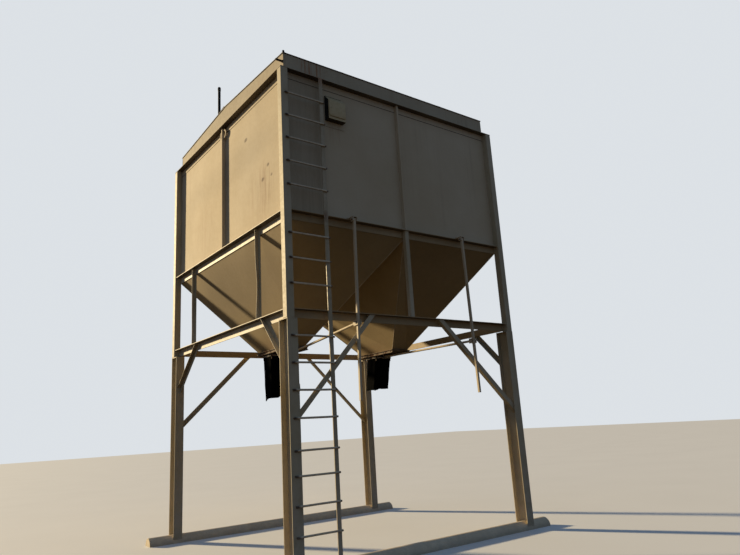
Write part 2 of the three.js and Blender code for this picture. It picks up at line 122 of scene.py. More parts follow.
FLOOR_HALF = 70
SQUARE = ((-1, -1), (1, -1), (1, 1), (-1, 1))
floor_mesh = bpy.data.meshes.new("floor")
floor_mesh.from_pydata([(x * FLOOR_HALF, y * FLOOR_HALF, 0) for x, y in SQUARE], [], [(0, 1, 2, 3)])
floor_mesh.materials.append(floor_paint)
floor = bpy.data.objects.new("floor", floor_mesh)
scene.collection.objects.link(floor)

KEY_FROM = direction(math.radians(-25), math.radians(15.5))
key_data = bpy.data.lights.new("warm_side_light", "SUN")
key_data.angle = math.radians(3)
key_data.energy = 5.9
key_data.color = (1.0, 0.79, 0.47)
key = bpy.data.objects.new("warm_side_light", key_data)
key.rotation_euler = (-KEY_FROM).to_track_quat("-Z", "Y").to_euler()
scene.collection.objects.link(key)

SKY_LIGHT = {"Color": (0.475, 0.675, 1.0, 1), "Strength": 0.235}
BACKDROP = {"Color": (0.80, 0.84, 0.88, 1), "Strength": 0.9}
world = bpy.data.worlds.new("soft_surround")
world.use_nodes = True
tree = world.node_tree
tree.nodes.clear()
sky = add(tree, "Background", SKY_LIGHT)
backdrop = add(tree, "Background", BACKDROP)
seen = add(tree, "LightPath").outputs["Is Camera Ray"]
both = add(tree, "MixShader", {0: seen, 1: sky.outputs[0], 2: backdrop.outputs[0]})
world_output = tree.nodes.new("ShaderNodeOutputWorld")
tree.links.new(both.outputs[0], world_output.inputs["Surface"])
scene.world = world

# Skids: two lengths of steel pipe with plates welded over their ends, sunk to half their height.
# What is left of their paint is chalked, chipped to rust and dusty low down.

CENTRE_SET_BACK = 67.2  # the middle of the box lies this far behind the frame's origin
INTO_FRAME = Matrix.Diagonal((0.001, 0.001, 0.001, 1)) @ Matrix.Translation((0, CENTRE_SET_BACK, 0))
SKID_RADIUS = 109.4
SKID_CENTRE_Z = 5
SKID_HALF_LENGTH = 2240
SKID_Y = 1800
END_PLATE = 8
END_PLATE_RADIUS = SKID_RADIUS - 6
PIPE_END = SKID_HALF_LENGTH - END_PLATE
PIPE_STEPS = 40
TAN = (0.50, 0.405, 0.265, 1)
FADED_TAN = (0.585, 0.495, 0.355, 1)
RUST = (0.155, 0.060, 0.024, 1)
DARK_RUST = (0.050, 0.024, 0.014, 1)
RUN_RUST = (0.30, 0.125, 0.045, 1)
RAIN_BROWN = (0.215, 0.135, 0.075, 1)
# A dark brown used for real grime stains, and also for painted shade under downward faces.
GRIME_AND_PAINTED_SHADE = (0.055, 0.038, 0.024, 1)
DUST = (0.52, 0.445, 0.34, 1)
BROAD_STAIN = 1.0  # a stain that reaches further than this, in metres, is nearly unbroken
BROAD_STAIN_BREAKS = 0.2
draw = random.Random(31)


def node_group(name, inputs, outputs):
    """A shader node group with named sockets; gives its tree and its inner ends."""
    tree = bpy.data.node_groups.new(name, "ShaderNodeTree")
    for socket, kind, value in inputs:
        made = tree.interface.new_socket(name=socket, in_out="INPUT", socket_type="NodeSocket" + kind)
        made.default_value = value
    for socket, kind in outputs:
        tree.interface.new_socket(name=socket, in_out="OUTPUT", socket_type="NodeSocket" + kind)
    return tree, tree.nodes.new("NodeGroupInput").outputs, tree.nodes.new("NodeGroupOutput").inputs


def ramp(tree, value, low, high, to_low=0.0, to_high=1.0):
    """Carries a value from low..high smoothly over to to_low..to_high."""
    values = {"Value": value, "From Min": low, "From Max": high, "To Min": to_low, "To Max": to_high}
    return add(tree, "MapRange", values, interpolation_type="SMOOTHSTEP").outputs["Result"]


def sum_up(tree, operation, first, second):
    return add(tree, "Math", {0: first, 1: second}, operation=operation).outputs[0]


def times(tree, first, *others):
    for other in others:
        first = sum_up(tree, "MULTIPLY", first, other)
    return first


def vector_sum(tree, operation, first, second):
    return add(tree, "VectorMath", {0: first, 1: second}, operation=operation).outputs[0]


def noise(tree, place, scale, detail, roughness=0.55, distortion=0.0):
    values = {"Vector": place, "Scale": scale, "Detail": detail, "Roughness": roughness}
    return add(tree, "TexNoise", {**values, "Distortion": distortion}).outputs["Fac"]


def upward_facing(tree):
    """1 where the surface faces up, -1 where it faces down."""
    normal = add(tree, "NewGeometry").outputs["Normal"]
    return add(tree, "SeparateXYZ", {0: normal}).outputs["Z"]


tree, given, out = node_group(
    "chalked_paint",
    [("Paint", "Color", TAN), ("Faded", "Color", FADED_TAN), ("Patches", "Float", 0.8),
     ("Mottle", "Float", 1.0)],
    [("Color", "Color"), ("Roughness", "Float"), ("Height", "Float")],
)
place = surface_place(tree)
broad = noise(tree, place, given["Patches"], 4.0, 0.6)
mottle = noise(tree, place, 23.0, 5.0, 0.65)
fade = ramp(tree, broad, 0.32, 0.72)
colour = blend_colours(tree, fade, given["Paint"], given["Faded"])
darker = add(tree, "HueSaturation", {"Color": colour, "Value": 0.90, "Saturation": 1.05}).outputs[0]
mottled = times(tree, ramp(tree, mottle, 0.42, 0.66), given["Mottle"])
colour = blend_colours(tree, mottled, colour, darker)
tree.links.new(colour, out["Color"])
uneven = times(tree, ramp(tree, mottle, 0.3, 0.7, -0.09, 0.09), given["Mottle"])
tree.links.new(sum_up(tree, "ADD", uneven, 0.68), out["Roughness"])
peel = times(tree, noise(tree, place, 260.0, 2.0), 0.35)
raised = times(tree, sum_up(tree, "ADD", peel, mottle), given["Mottle"])
tree.links.new(raised, out["Height"])

tree, given, out = node_group(
    "rain_runs",
    [("Across", "Float", 8.0), ("Along", "Float", 0.45), ("Amount", "Float", 0.3)],
    [("Mask", "Float")],
)
place = surface_place(tree)
stretch = add(tree, "CombineXYZ", {0: given["Across"], 1: given["Across"], 2: given["Along"]}).outputs[0]
drawn = vector_sum(tree, "MULTIPLY", place, stretch)
lines = ramp(tree, noise(tree, drawn, 1.0, 6.0, 0.62), 0.50, 0.74)
parts = ramp(tree, noise(tree, place, 0.9, 2.0), 0.38, 0.62)
tree.links.new(times(tree, lines, parts, given["Amount"]), out["Mask"])

tree, given, out = node_group(
    "rust_spots",
    [("Size", "Float", 9.0), ("Cover", "Float", 0.1)],
    [("Mask", "Float"), ("Color", "Color")],
)
place = surface_place(tree)
grain = noise(tree, place, given["Size"], 8.0, 0.68, 0.4)
edge = sum_up(tree, "SUBTRACT", 0.80, times(tree, given["Cover"], 0.42))
tree.links.new(ramp(tree, grain, edge, sum_up(tree, "ADD", edge, 0.035)), out["Mask"])
bloom = ramp(tree, noise(tree, place, 60.0, 4.0, 0.7), 0.35, 0.7)
tree.links.new(blend_colours(tree, bloom, DARK_RUST, RUST), out["Color"])

tree, given, out = node_group(
    "worn_edges",
    [("Reach", "Float", 0.004), ("Amount", "Float", 0.5)],
    [("Mask", "Float")],
)
place = surface_place(tree)
rounded = add(tree, "Bevel", {"Radius": given["Reach"]}, samples=4).outputs["Normal"]
flat = add(tree, "NewGeometry").outputs["Normal"]
square_on = add(tree, "VectorMath", {0: rounded, 1: flat}, operation="DOT_PRODUCT").outputs["Value"]
corner = ramp(tree, square_on, 0.99, 0.86)
nicks = ramp(tree, noise(tree, place, 21.0, 6.0, 0.7), 0.48, 0.58)
tree.links.new(times(tree, corner, nicks, given["Amount"]), out["Mask"])

tree, given, out = node_group(
    "settled_dust",
    [("Top", "Float", 0.5), ("Amount", "Float", 0.6)],
    [("Mask", "Float")],
)
place = surface_place(tree)
height = add(tree, "SeparateXYZ", {0: place}).outputs["Z"]
low = ramp(tree, height, given["Top"], 0.0)
upward = times(tree, ramp(tree, upward_facing(tree), 0.35, 0.95), 0.55)
film = sum_up(tree, "MAXIMUM", low, upward)
broken = ramp(tree, noise(tree, place, 7.0, 7.0, 0.7), 0.30, 0.62)
tree.links.new(times(tree, film, broken, given["Amount"]), out["Mask"])

# Painted shade: surfaces that face down are darkened, as if in shadow under the parts above them.
tree, given, out = node_group("underside_painted_shade", [("Amount", "Float", 0.5)], [("Mask", "Float")])
place = surface_place(tree)
below = ramp(tree, upward_facing(tree), -0.55, -0.97)
cloudy = ramp(tree, noise(tree, place, 1.6, 3.0, 0.5), 0.3, 0.65, 0.8, 1.0)
tree.links.new(times(tree, below, cloudy, given["Amount"]), out["Mask"])

tree, given, out = node_group(
    "stain_spot",
    [("Place", "Vector", (0, 0, 0)), ("Reach", "Vector", (0.1, 0.1, 0.1)), ("Streaks", "Float", 0.0),
     ("Broken", "Float", 1.0)],
    [("Mask", "Float")],
)
place = surface_place(tree)
away = vector_sum(tree, "SUBTRACT", place, given["Place"])
scaled = vector_sum(tree, "DIVIDE", away, given["Reach"])
distance = add(tree, "VectorMath", {0: scaled}, operation="LENGTH").outputs["Value"]
inside = ramp(tree, distance, 1.0, 0.25)
drawn = vector_sum(tree, "MULTIPLY", place, (34.0, 34.0, 1.6))
lines = ramp(tree, noise(tree, drawn, 1.0, 5.0, 0.6), 0.44, 0.62)
ragged = ramp(tree, noise(tree, place, 60.0, 5.0, 0.7), 0.30, 0.55)
texture = add(tree, "Mix", {"Factor": given["Streaks"], 2: ragged, 3: lines}, data_type="FLOAT")
bare = sum_up(tree, "SUBTRACT", 1.0, texture.outputs[0])
covered = sum_up(tree, "SUBTRACT", 1.0, times(tree, bare, given["Broken"]))
tree.links.new(times(tree, inside, covered), out["Mask"])


def placed(tree, group, **values):
    """One of the node groups in a material, with its own values."""
    node = add(tree, "Group", node_tree=bpy.data.node_groups[group])
    for socket, value in values.items():
        node.inputs[socket].default_value = value
    return node.outputs


def painted_steel(name, paint, faded, patches, rust, edges, bump, runs=(8.0, 0.45, 0.3),
                  dust=(0.1, 0.3), stains=(), waves=0.0, mottle=1.0, gloss=0.0, underside_shade=0.75, shine=0.5):
    """Brushed paint over steel, chalked, run with rain, chipped to rust, worn, dusty, with painted shade
    below.

    runs is how fine they are across and along, and how strong. rust is its grain and cover, edges
    the reach and strength of the wear, dust the height that it reaches and its strength. A stain
    is its place and reach in metres, how streaky and how strong it is, and its colour.
    """
    material, tree = bare_material(name)
    base = placed(tree, "chalked_paint", Paint=paint, Faded=faded, Patches=patches, Mottle=mottle)
    runs_mask = placed(tree, "rain_runs", Across=runs[0], Along=runs[1], Amount=runs[2])["Mask"]
    spots = placed(tree, "rust_spots", Size=rust[0], Cover=rust[1])
    colour = blend_colours(tree, runs_mask, base["Color"], RAIN_BROWN)
    bared = spots["Mask"]
    if edges[1]:
        worn = placed(tree, "worn_edges", Reach=edges[0], Amount=edges[1])["Mask"]
        bared = sum_up(tree, "MAXIMUM", bared, worn)
    colour = blend_colours(tree, bared, colour, spots["Color"])
    for spot_at, reach, streaks, strength, tint in stains:
        broken = BROAD_STAIN_BREAKS if max(reach) > BROAD_STAIN else 1.0
        spot = placed(tree, "stain_spot", Place=spot_at, Reach=reach, Streaks=streaks, Broken=broken)["Mask"]
        colour = blend_colours(tree, times(tree, spot, strength), colour, tint)
    # Painted shade: faces that look down are darkened.
    colour = blend_colours(tree, placed(tree, "underside_painted_shade", Amount=underside_shade)["Mask"], colour, GRIME_AND_PAINTED_SHADE)
    film = placed(tree, "settled_dust", Top=dust[0], Amount=dust[1])["Mask"]
    colour = blend_colours(tree, film, colour, DUST)
    rough = sum_up(tree, "ADD", base["Roughness"], times(tree, bared, 0.2))
    rough = sum_up(tree, "SUBTRACT", rough, gloss)
    height = sum_up(tree, "SUBTRACT", base["Height"], times(tree, bared, 0.8))
    bumped = add(tree, "Bump", {"Height": height, "Distance": bump, "Strength": 0.6}).outputs[0]
    if waves:
        slow = noise(tree, surface_place(tree), 1.3, 1.0)
        values = {"Height": slow, "Distance": waves, "Strength": 1.0, "Normal": bumped}
        bumped = add(tree, "Bump", values).outputs[0]
    values = {"Base Color": colour, "Roughness": rough, "Normal": bumped, "Specular IOR Level": shine}
    finish_material(tree, values)
    return material


def join_loops(bm, loops, ends=True, closed=False):
    """Joins loops of points in turn, with a face over each end unless it is open or runs round."""
    rings = [[bm.verts.new(point) for point in loop] for loop in loops]
    pairs = list(zip(rings, rings[1:])) + ([(rings[-1], rings[0])] if closed else [])
    for first, second in pairs:
        for i in range(len(first)):
            k = (i + 1) % len(first)
            bm.faces.new((first[i], first[k], second[k], second[i]))
    if ends and not closed:
        bm.faces.new(rings[0][::-1])
        bm.faces.new(rings[-1])


def frames_along(path, closed):
    """A point, its sideways and its upward direction for each step of a path."""
    count = len(path)
    side = None
    for i, point in enumerate(path):
        before = path[i - 1] if i or closed else point
        after = path[(i + 1) % count] if i < count - 1 or closed else point
        along = (after - before).normalized()
        if side is None:
            side = along.orthogonal().normalized()
        side = (side - along * side.dot(along)).normalized()
        yield point, side, along.cross(side)


def round_loop(middle, side, up, radius, sides):
    """Points round a middle, in the plane of two directions."""
    turns = [2 * math.pi * k / sides for k in range(sides)]
    return [middle + radius * (math.cos(turn) * side + math.sin(turn) * up) for turn in turns]


def add_sweep(bm, path, radii, sides, closed=False):
    """A round bar through the points of a path, of one radius or of one for each point."""
    path = [Vector(point) for point in path]
    radii = radii if hasattr(radii, "__len__") else [radii] * len(path)
    steps = zip(frames_along(path, closed), radii)
    loops = [round_loop(point, side, up, radius, sides) for (point, side, up), radius in steps]
    join_loops(bm, loops, closed=closed)


def walked(path, step, closed):
    """Points at even steps along a path of straight runs."""
    path = [Vector(point) for point in path]
    runs = list(zip(path, path[1:])) + ([(path[-1], path[0])] if closed else [])
    points = []
    for start, end in runs:
        count = max(1, round((end - start).length / step))
        points += [start.lerp(end, i / count) for i in range(count)]
    return points if closed else points + [path[-1]]


def add_weld(bm, path, size, closed=False):
    """A weld bead laid along a path, with the ripple of a stick weld."""
    points = walked(path, size * 0.9, closed)
    radii = [size * (0.86 + 0.22 * (i % 2) + draw.uniform(-0.08, 0.10)) for i in range(len(points))]
    if not closed:
        radii[0] = radii[-1] = size * 0.4
    add_sweep(bm, points, radii, 6, closed)


def piece(name, bm, material, body="bin_frame", stands_for=(), bevel=0.0, segments=2, crease=38):
    """Turns a drawing in millimetres into a piece of the frame that rides on its body."""
    bm.transform(INTO_FRAME)
    bmesh.ops.recalc_face_normals(bm, faces=bm.faces)
    mesh = bpy.data.meshes.new(name)
    bm.to_mesh(mesh)
    bm.free()
    for polygon in mesh.polygons:
        polygon.use_smooth = True
    mesh.set_sharp_from_angle(angle=math.radians(crease))
    mesh.materials.append(material)
    made = bpy.data.objects.new(name, mesh)
    scene.collection.objects.link(made)
    if bevel:
        round_edges(made, bevel, segments, crease)
    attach(made, body)
    if stands_for:
        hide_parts(*stands_for)
    return made


def round_edges(target, width, segments, crease):
    """Rounds the edges of a piece that are sharper than the crease, by a width in millimetres."""
    rounding = target.modifiers.new("rounded_edges", "BEVEL")
    rounding.width = width / 1000
    rounding.segments = segments
    rounding.limit_method = "ANGLE"
    rounding.angle_limit = math.radians(crease)
    rounding.harden_normals = True


def add_half_pipe(bm, radius, low_x, high_x, y, length_steps=1):
    """The upper part of a level pipe, cut flat below and closed at its ends."""
    under = math.asin(SKID_CENTRE_Z / radius)
    section = []
    for i in range(PIPE_STEPS + 1):
        angle = -under + (math.pi + 2 * under) * i / PIPE_STEPS
        section.append((y + radius * math.cos(angle), max(0, SKID_CENTRE_Z + radius * math.sin(angle))))
    stations = [low_x + (high_x - low_x) * j / length_steps for j in range(length_steps + 1)]
    join_loops(bm, [[(x, *point) for point in section] for x in stations])


skid_finish = painted_steel(
    "skid_chalked_paint", (0.70, 0.58, 0.40, 1), (0.78, 0.67, 0.49, 1), patches=2.2,
    runs=(6.0, 3.0, 0.25), rust=(7.0, 0.30), edges=(0.006, 0.8), dust=(0.16, 0.75), bump=0.003,
)
weld_finish = painted_steel(
    "painted_welds", (0.43, 0.345, 0.225, 1), FADED_TAN, patches=5.0,
    rust=(16.0, 0.42), edges=(0.002, 0.0), dust=(0.4, 0.5), bump=0.002,
)
for end, y in (("front", -SKID_Y), ("rear", SKID_Y)):
    drawing = bmesh.new()
    add_half_pipe(drawing, SKID_RADIUS, -PIPE_END, PIPE_END, y, length_steps=8)
    for side in (-1, 1):
        plate_x = sorted((side * (PIPE_END + 0.2), side * SKID_HALF_LENGTH))
        add_half_pipe(drawing, END_PLATE_RADIUS, plate_x[0], plate_x[1], y)
    piece(f"skid_{end}_pipe", drawing, skid_finish, stands_for=[f"skid_{end}"])

    drawing = bmesh.new()
    bead_radius = END_PLATE_RADIUS + 1
    bead_start = math.asin((SKID_CENTRE_Z - 4) / SKID_RADIUS)
    for side in (-1, 1):
        arc = []
        for i in range(PIPE_STEPS + 1):
            angle = bead_start + (math.pi - 2 * bead_start) * i / PIPE_STEPS
            arc.append((side * (PIPE_END + 1), y + bead_radius * math.cos(angle),
                        SKID_CENTRE_Z + bead_radius * math.sin(angle)))
        add_weld(drawing, arc, 4.5)
    piece(f"skid_{end}_end_welds", drawing, weld_finish)

# Legs: wide-flange steel beams, cut at the foot to the round of the skid and welded all round.
# A plate on the head of each leg carries the corner post. They are brushed with the tan paint.

LEG_DEPTH = 200
LEG_WIDTH = 133
LEG_WEB = 5.8
LEG_FLANGE = 8.4
LEG_CAP = 11
WEB_BEAD_HALF = 88
WEB_BEAD_STEP = 8
POST_PLANE = 1900
POST_FOOT = 2760
CORNERS = {"front_left": (-1, -1), "front_right": (1, -1), "rear_left": (-1, 1), "rear_right": (1, 1)}


def dress(names, material, rounding=0.0, segments=2):
    """Gives CAD nodes their finish, and rounds their edges by so many millimetres."""
    for name in names:
        node = nodes[name]
        for slot in node.material_slots:
            slot.material = material
        if rounding:
            joined = node.modifiers.new("joined_faces", "WELD")
            joined.merge_threshold = 0.00002
            round_edges(node, rounding, segments, 40)


def saddle_height(dy):
    """Height of the skid's surface, dy off its middle line."""
    return SKID_CENTRE_Z + math.sqrt(max(0.0, (SKID_RADIUS + 1) ** 2 - dy * dy))


frame_finish = painted_steel(
    "tan_frame_paint", (0.40, 0.335, 0.21, 1), (0.48, 0.415, 0.29, 1), patches=1.4, runs=(13.0, 0.7, 0.28),
    rust=(11.0, 0.10), edges=(0.0045, 0.45), dust=(1.7, 0.85), bump=0.0006, mottle=0.4, gloss=0.04, underside_shade=1.0,
)
dress([f"leg_{corner}" for corner in CORNERS], frame_finish, 1.6)
half_width = LEG_WIDTH / 2
flange_inner = LEG_DEPTH / 2 - LEG_FLANGE
web_steps = range(-WEB_BEAD_HALF, WEB_BEAD_HALF + 1, WEB_BEAD_STEP)
for corner, (side_x, side_y) in CORNERS.items():
    drawing = bmesh.new()
    leg_x = side_x * (POST_PLANE - half_width)
    leg_y = side_y * SKID_Y
    for face in (-1, 1):
        for dy, out_by in ((face * LEG_DEPTH / 2, face * 2.5), (face * flange_inner, -face * 2.5)):
            z = saddle_height(dy) + 2
            reach = half_width if abs(dy) > flange_inner else half_width - 1
            bead_y = leg_y + dy + out_by
            add_weld(drawing, [(leg_x - reach, bead_y, z), (leg_x + reach, bead_y, z)], 4.5)
    for side in (-1, 1):
        web_x = leg_x + side * (LEG_WEB / 2 + 2)
        add_weld(drawing, [(web_x, leg_y + dy, saddle_height(dy) + 2) for dy in web_steps], 4.5)
    rim = [(leg_x + a * (half_width - 1), leg_y + b * (LEG_DEPTH / 2 - 1), POST_FOOT - LEG_CAP)
           for a, b in SQUARE]
    add_weld(drawing, rim, 2.6, closed=True)
    piece(f"leg_{corner}_welds", drawing, weld_finish)

# Corner posts: square steel tube with rounded corners, from the leg caps up to the top flange.
# Each is welded round its foot and under the flange.

POST_SIZE = 100
POST_INNER = POST_PLANE - POST_SIZE
POST_BEAD = ((-0.9, -1), (0.9, -1), (1, -0.9), (1, 0.9), (0.9, 1), (-0.9, 1), (-1, 0.9), (-1, -0.9))
FLANGE_FOOT = 5957
dress([f"post_{corner}" for corner in CORNERS], frame_finish, 9.0, 4)
post_middle = POST_PLANE - POST_SIZE / 2
bead_half = POST_SIZE / 2 - 1
bead_limit = POST_PLANE - 2
for corner, (side_x, side_y) in CORNERS.items():
    drawing = bmesh.new()
    for z in (POST_FOOT + 2, FLANGE_FOOT - 2):
        ring = []
        for a, b in POST_BEAD:
            y = side_y * post_middle + b * bead_half
            ring.append((side_x * post_middle + a * bead_half, min(max(y, -bead_limit), bead_limit), z))
        add_weld(drawing, ring, 4.0, closed=True)
    piece(f"post_{corner}_welds", drawing, weld_finish)

# Ring beams: heavy steel angles between the posts, one leg lying flat on top and pointing out and the
# other hanging down. They are welded to the posts at both ends. The two on the left, in the light, are
# painted paler as painted light, and the others a darker brown as painted shade.

SIDES = {"front": 0, "right": 1, "rear": 2, "left": 3}
RING_TOPS = {"lower_beam": 2876, "box_beam": 4076}
BEAM_OUTER = 1890  # where the flat leg of each angle ends
BEAM_FACE = 1810  # the outer face of the leg that hangs down
BEAM_THICK = 10
BEAM_DEPTH = 102


def turned(side):
    """Turns what is drawn for the front to another side of the square box."""
    return Matrix.Rotation(math.pi / 2 * SIDES[side], 4, "Z")


# Painted light: a darker brown paint for beams on the shaded sides, a paler one for the lit left side.
shaded_side_beam_paint = painted_steel(
    "shade_darkened_beam_paint", (0.34, 0.245, 0.12, 1), (0.41, 0.305, 0.165, 1), patches=1.1, runs=(13.0, 0.7, 0.3),
    rust=(11.0, 0.10), edges=(0.0045, 0.6), dust=(0.75, 0.55), bump=0.0005, mottle=0.3, gloss=0.05, underside_shade=1.0,
)
sunlit_left_beam_paint = painted_steel(
    "light_paled_beam_paint", (0.50, 0.44, 0.33, 1), (0.56, 0.50, 0.39, 1), patches=1.1, runs=(13.0, 0.7, 0.25),
    rust=(11.0, 0.08), edges=(0.0045, 0.5), dust=(0.75, 0.4), bump=0.0004, mottle=0.3, gloss=0.08, underside_shade=1.0,
)
for ring, top in RING_TOPS.items():
    for side in SIDES:
        dress([f"{ring}_{side}"], sunlit_left_beam_paint if side == "left" else shaded_side_beam_paint, 2.0)
        drawing = bmesh.new()
        for end in (-1, 1):
            x = end * (POST_INNER - 1)
            under_z = top - BEAM_THICK - 2
            face_y = -BEAM_FACE - 2
            add_weld(drawing, [(x, -BEAM_OUTER + 3, under_z), (x, face_y, under_z),
                               (x, face_y, top - BEAM_DEPTH + 3)], 4.5)
            add_weld(drawing, [(x, -BEAM_OUTER + 4, top + 1), (x, -BEAM_FACE + 6, top + 1)], 4.0)
        drawing.transform(turned(side))
        piece(f"{ring}_{side}_welds", drawing, weld_finish)

# Struts: square steel tube in the middle of the front and rear, and two steel angles on the left.
# They stand between the two rings, welded round both ends, and both angles have been dented.

STRUT_BACK = -BEAM_FACE
STRUT_FOOT = RING_TOPS["lower_beam"] + 0.4
STRUT_HEAD = RING_TOPS["box_beam"] - BEAM_THICK - 0.4
STRUT_STEPS = 40
ANGLE_THICK = 8
STRUTS = {
    # side, how far along it, and width
    "strut_front": ("front", 0, 64),
    "strut_rear": ("rear", 0, 64),
    "strut_left_front": ("left", 1070, 56),
    "strut_left_rear": ("left", -1120, 56),
}
DENTS = {
    # height of the dent, its depth, and how far the strut sways there
    "strut_left_front": (3300, 15, 14),
    "strut_left_rear": (3080, 8, -12),
}
DENT_REACH = 260


def take_in(bm, part, side):
    """Adds what was drawn for the front to a drawing, turned to one side of the box."""
    part.transform(turned(side))
    held = bpy.data.meshes.new("turned_part")
    part.to_mesh(held)
    part.free()
    bm.from_mesh(held)
    bpy.data.meshes.remove(held)


dress(["strut_front", "strut_rear"], frame_finish, 7.0, 3)
for name, (dent_at, dent_depth, sway) in DENTS.items():
    side, along, width = STRUTS[name]
    low, high = along - width / 2, along + width / 2
    web_face = STRUT_BACK - ANGLE_THICK
    loops = []
    for i in range(STRUT_STEPS + 1):
        z = STRUT_FOOT + (STRUT_HEAD - STRUT_FOOT) * i / STRUT_STEPS
        bent = math.exp(-(((z - dent_at) / DENT_REACH) ** 2))
        outer = STRUT_BACK - width + dent_depth * bent
        section = ((low, STRUT_BACK), (low, outer), (low + ANGLE_THICK, outer),
                   (low + ANGLE_THICK, web_face), (high, web_face), (high, STRUT_BACK))
        loops.append([(x + sway * bent * (STRUT_BACK - y) / width, y, z) for x, y in section])
    drawing = bmesh.new()
    join_loops(drawing, loops)
    drawing.transform(turned(side))
    piece(f"{name}_angle", drawing, frame_finish, stands_for=[name], bevel=2.4, segments=3)
drawing = bmesh.new()
for name, (side, along, width) in STRUTS.items():
    part = bmesh.new()
    half = width / 2 - 2
    back = STRUT_BACK - 2
    face = STRUT_BACK - width
    if name in DENTS:
        path = ((-half, face + 6), (-half, back), (half, STRUT_BACK - ANGLE_THICK + 1))
    else:
        path = ((-half, back), (-half, face + 4), (0, face), (half, face + 4), (half, back))
    for z in (STRUT_FOOT + 1.6, STRUT_HEAD - 1.6):
        add_weld(part, [(along + dx, y, z) for dx, y in path], 4.0)
    take_in(drawing, part, side)
piece("strut_welds", drawing, weld_finish)

# Knee braces: steel angles cut on the slant at both ends and welded between the legs and the underside
# of the lower ring. On the front and rear they run in to the webs of the legs.

BRACES = {
    # side, end of that side, height at the leg, and reach along the ring
    "brace_front_left": ("front", -1, 1670, 1003),
    "brace_front_right": ("front", 1, 1680, 1157),
    "brace_rear_left": ("rear", 1, 1670, 1130),
    "brace_rear_right": ("rear", -1, 1680, 1110),
    "brace_left_front": ("left", 1, 2310, 390),
    "brace_left_rear": ("left", -1, 2240, 630),
    "brace_right_front": ("right", -1, 2290, 450),
    "brace_right_rear": ("right", 1, 2240, 630),
}
UNDER_RING = RING_TOPS["lower_beam"] - BEAM_THICK
FLANGE_SIDES = ("left", "right")
BRACE_SIZE = 64
BRACE_GAP = 0.2


def brace_line(side, level, reach):
    """The edge of the leg by a brace, the brace's slope, and half its size measured upright."""
    leg_edge = POST_PLANE - (LEG_DEPTH if side in FLANGE_SIDES else LEG_WIDTH)
    slope = (POST_FOOT - level) / reach
    return leg_edge, slope, BRACE_SIZE / 2 * math.hypot(1, slope)


for name, (side, end, level, reach) in BRACES.items():
    leg_edge, slope, rise = brace_line(side, level, reach)
    seat = leg_edge if side in FLANGE_SIDES else POST_PLANE - (LEG_WIDTH + LEG_WEB) / 2
    thick = ANGLE_THICK * math.hypot(1, slope)
    flat_at, rest_at, flat_step = STRUT_BACK - BRACE_SIZE, STRUT_BACK, ANGLE_THICK
    if side == "left":
        flat_at, rest_at, flat_step = rest_at, flat_at, -ANGLE_THICK
    section = [(-rise, flat_at), (rise, flat_at), (rise, flat_at + flat_step),
               (thick - rise, flat_at + flat_step), (thick - rise, rest_at), (-rise, rest_at)]
    if name == "brace_left_rear":
        section = [(-offset, y) for offset, y in section]
    foot = []
    head = []
    head_z = UNDER_RING - BRACE_GAP
    for offset, y in section:
        line = level + offset
        foot.append((end * (seat - BRACE_GAP), y, line + (leg_edge - seat + BRACE_GAP) * slope))
        head.append((end * (leg_edge - (head_z - line) / slope), y, head_z))
    drawing = bmesh.new()
    join_loops(drawing, [foot, head])
    drawing.transform(turned(side))
    piece(f"{name}_angle", drawing, frame_finish, stands_for=[name], bevel=2.4, segments=3)
drawing = bmesh.new()
bead_ys = (STRUT_BACK - 4, STRUT_BACK - BRACE_SIZE + 5)
for side, end, level, reach in BRACES.values():
    part = bmesh.new()
    leg_edge, slope, rise = brace_line(side, level, reach)
    for offset in (-1, 1):
        x = end * (leg_edge - (UNDER_RING - level) / slope + offset * rise / slope)
        add_weld(part, [(x, y, UNDER_RING - 2) for y in bead_ys], 4.0)
    if side in FLANGE_SIDES:
        for offset in (-1, 1):
            add_weld(part, [(end * (leg_edge - 1), y, level + offset * rise) for y in bead_ys], 4.0)
    take_in(drawing, part, side)
piece("brace_welds", drawing, weld_finish)

# Walls: flat steel sheet welded between the posts, with a deep fin up the middle of each, a lap
# band along the top and a lifting ring through the head of the side fins. The paint is darkened
# behind the ladder as painted shade, and the left wall has rust spots with runs below them.

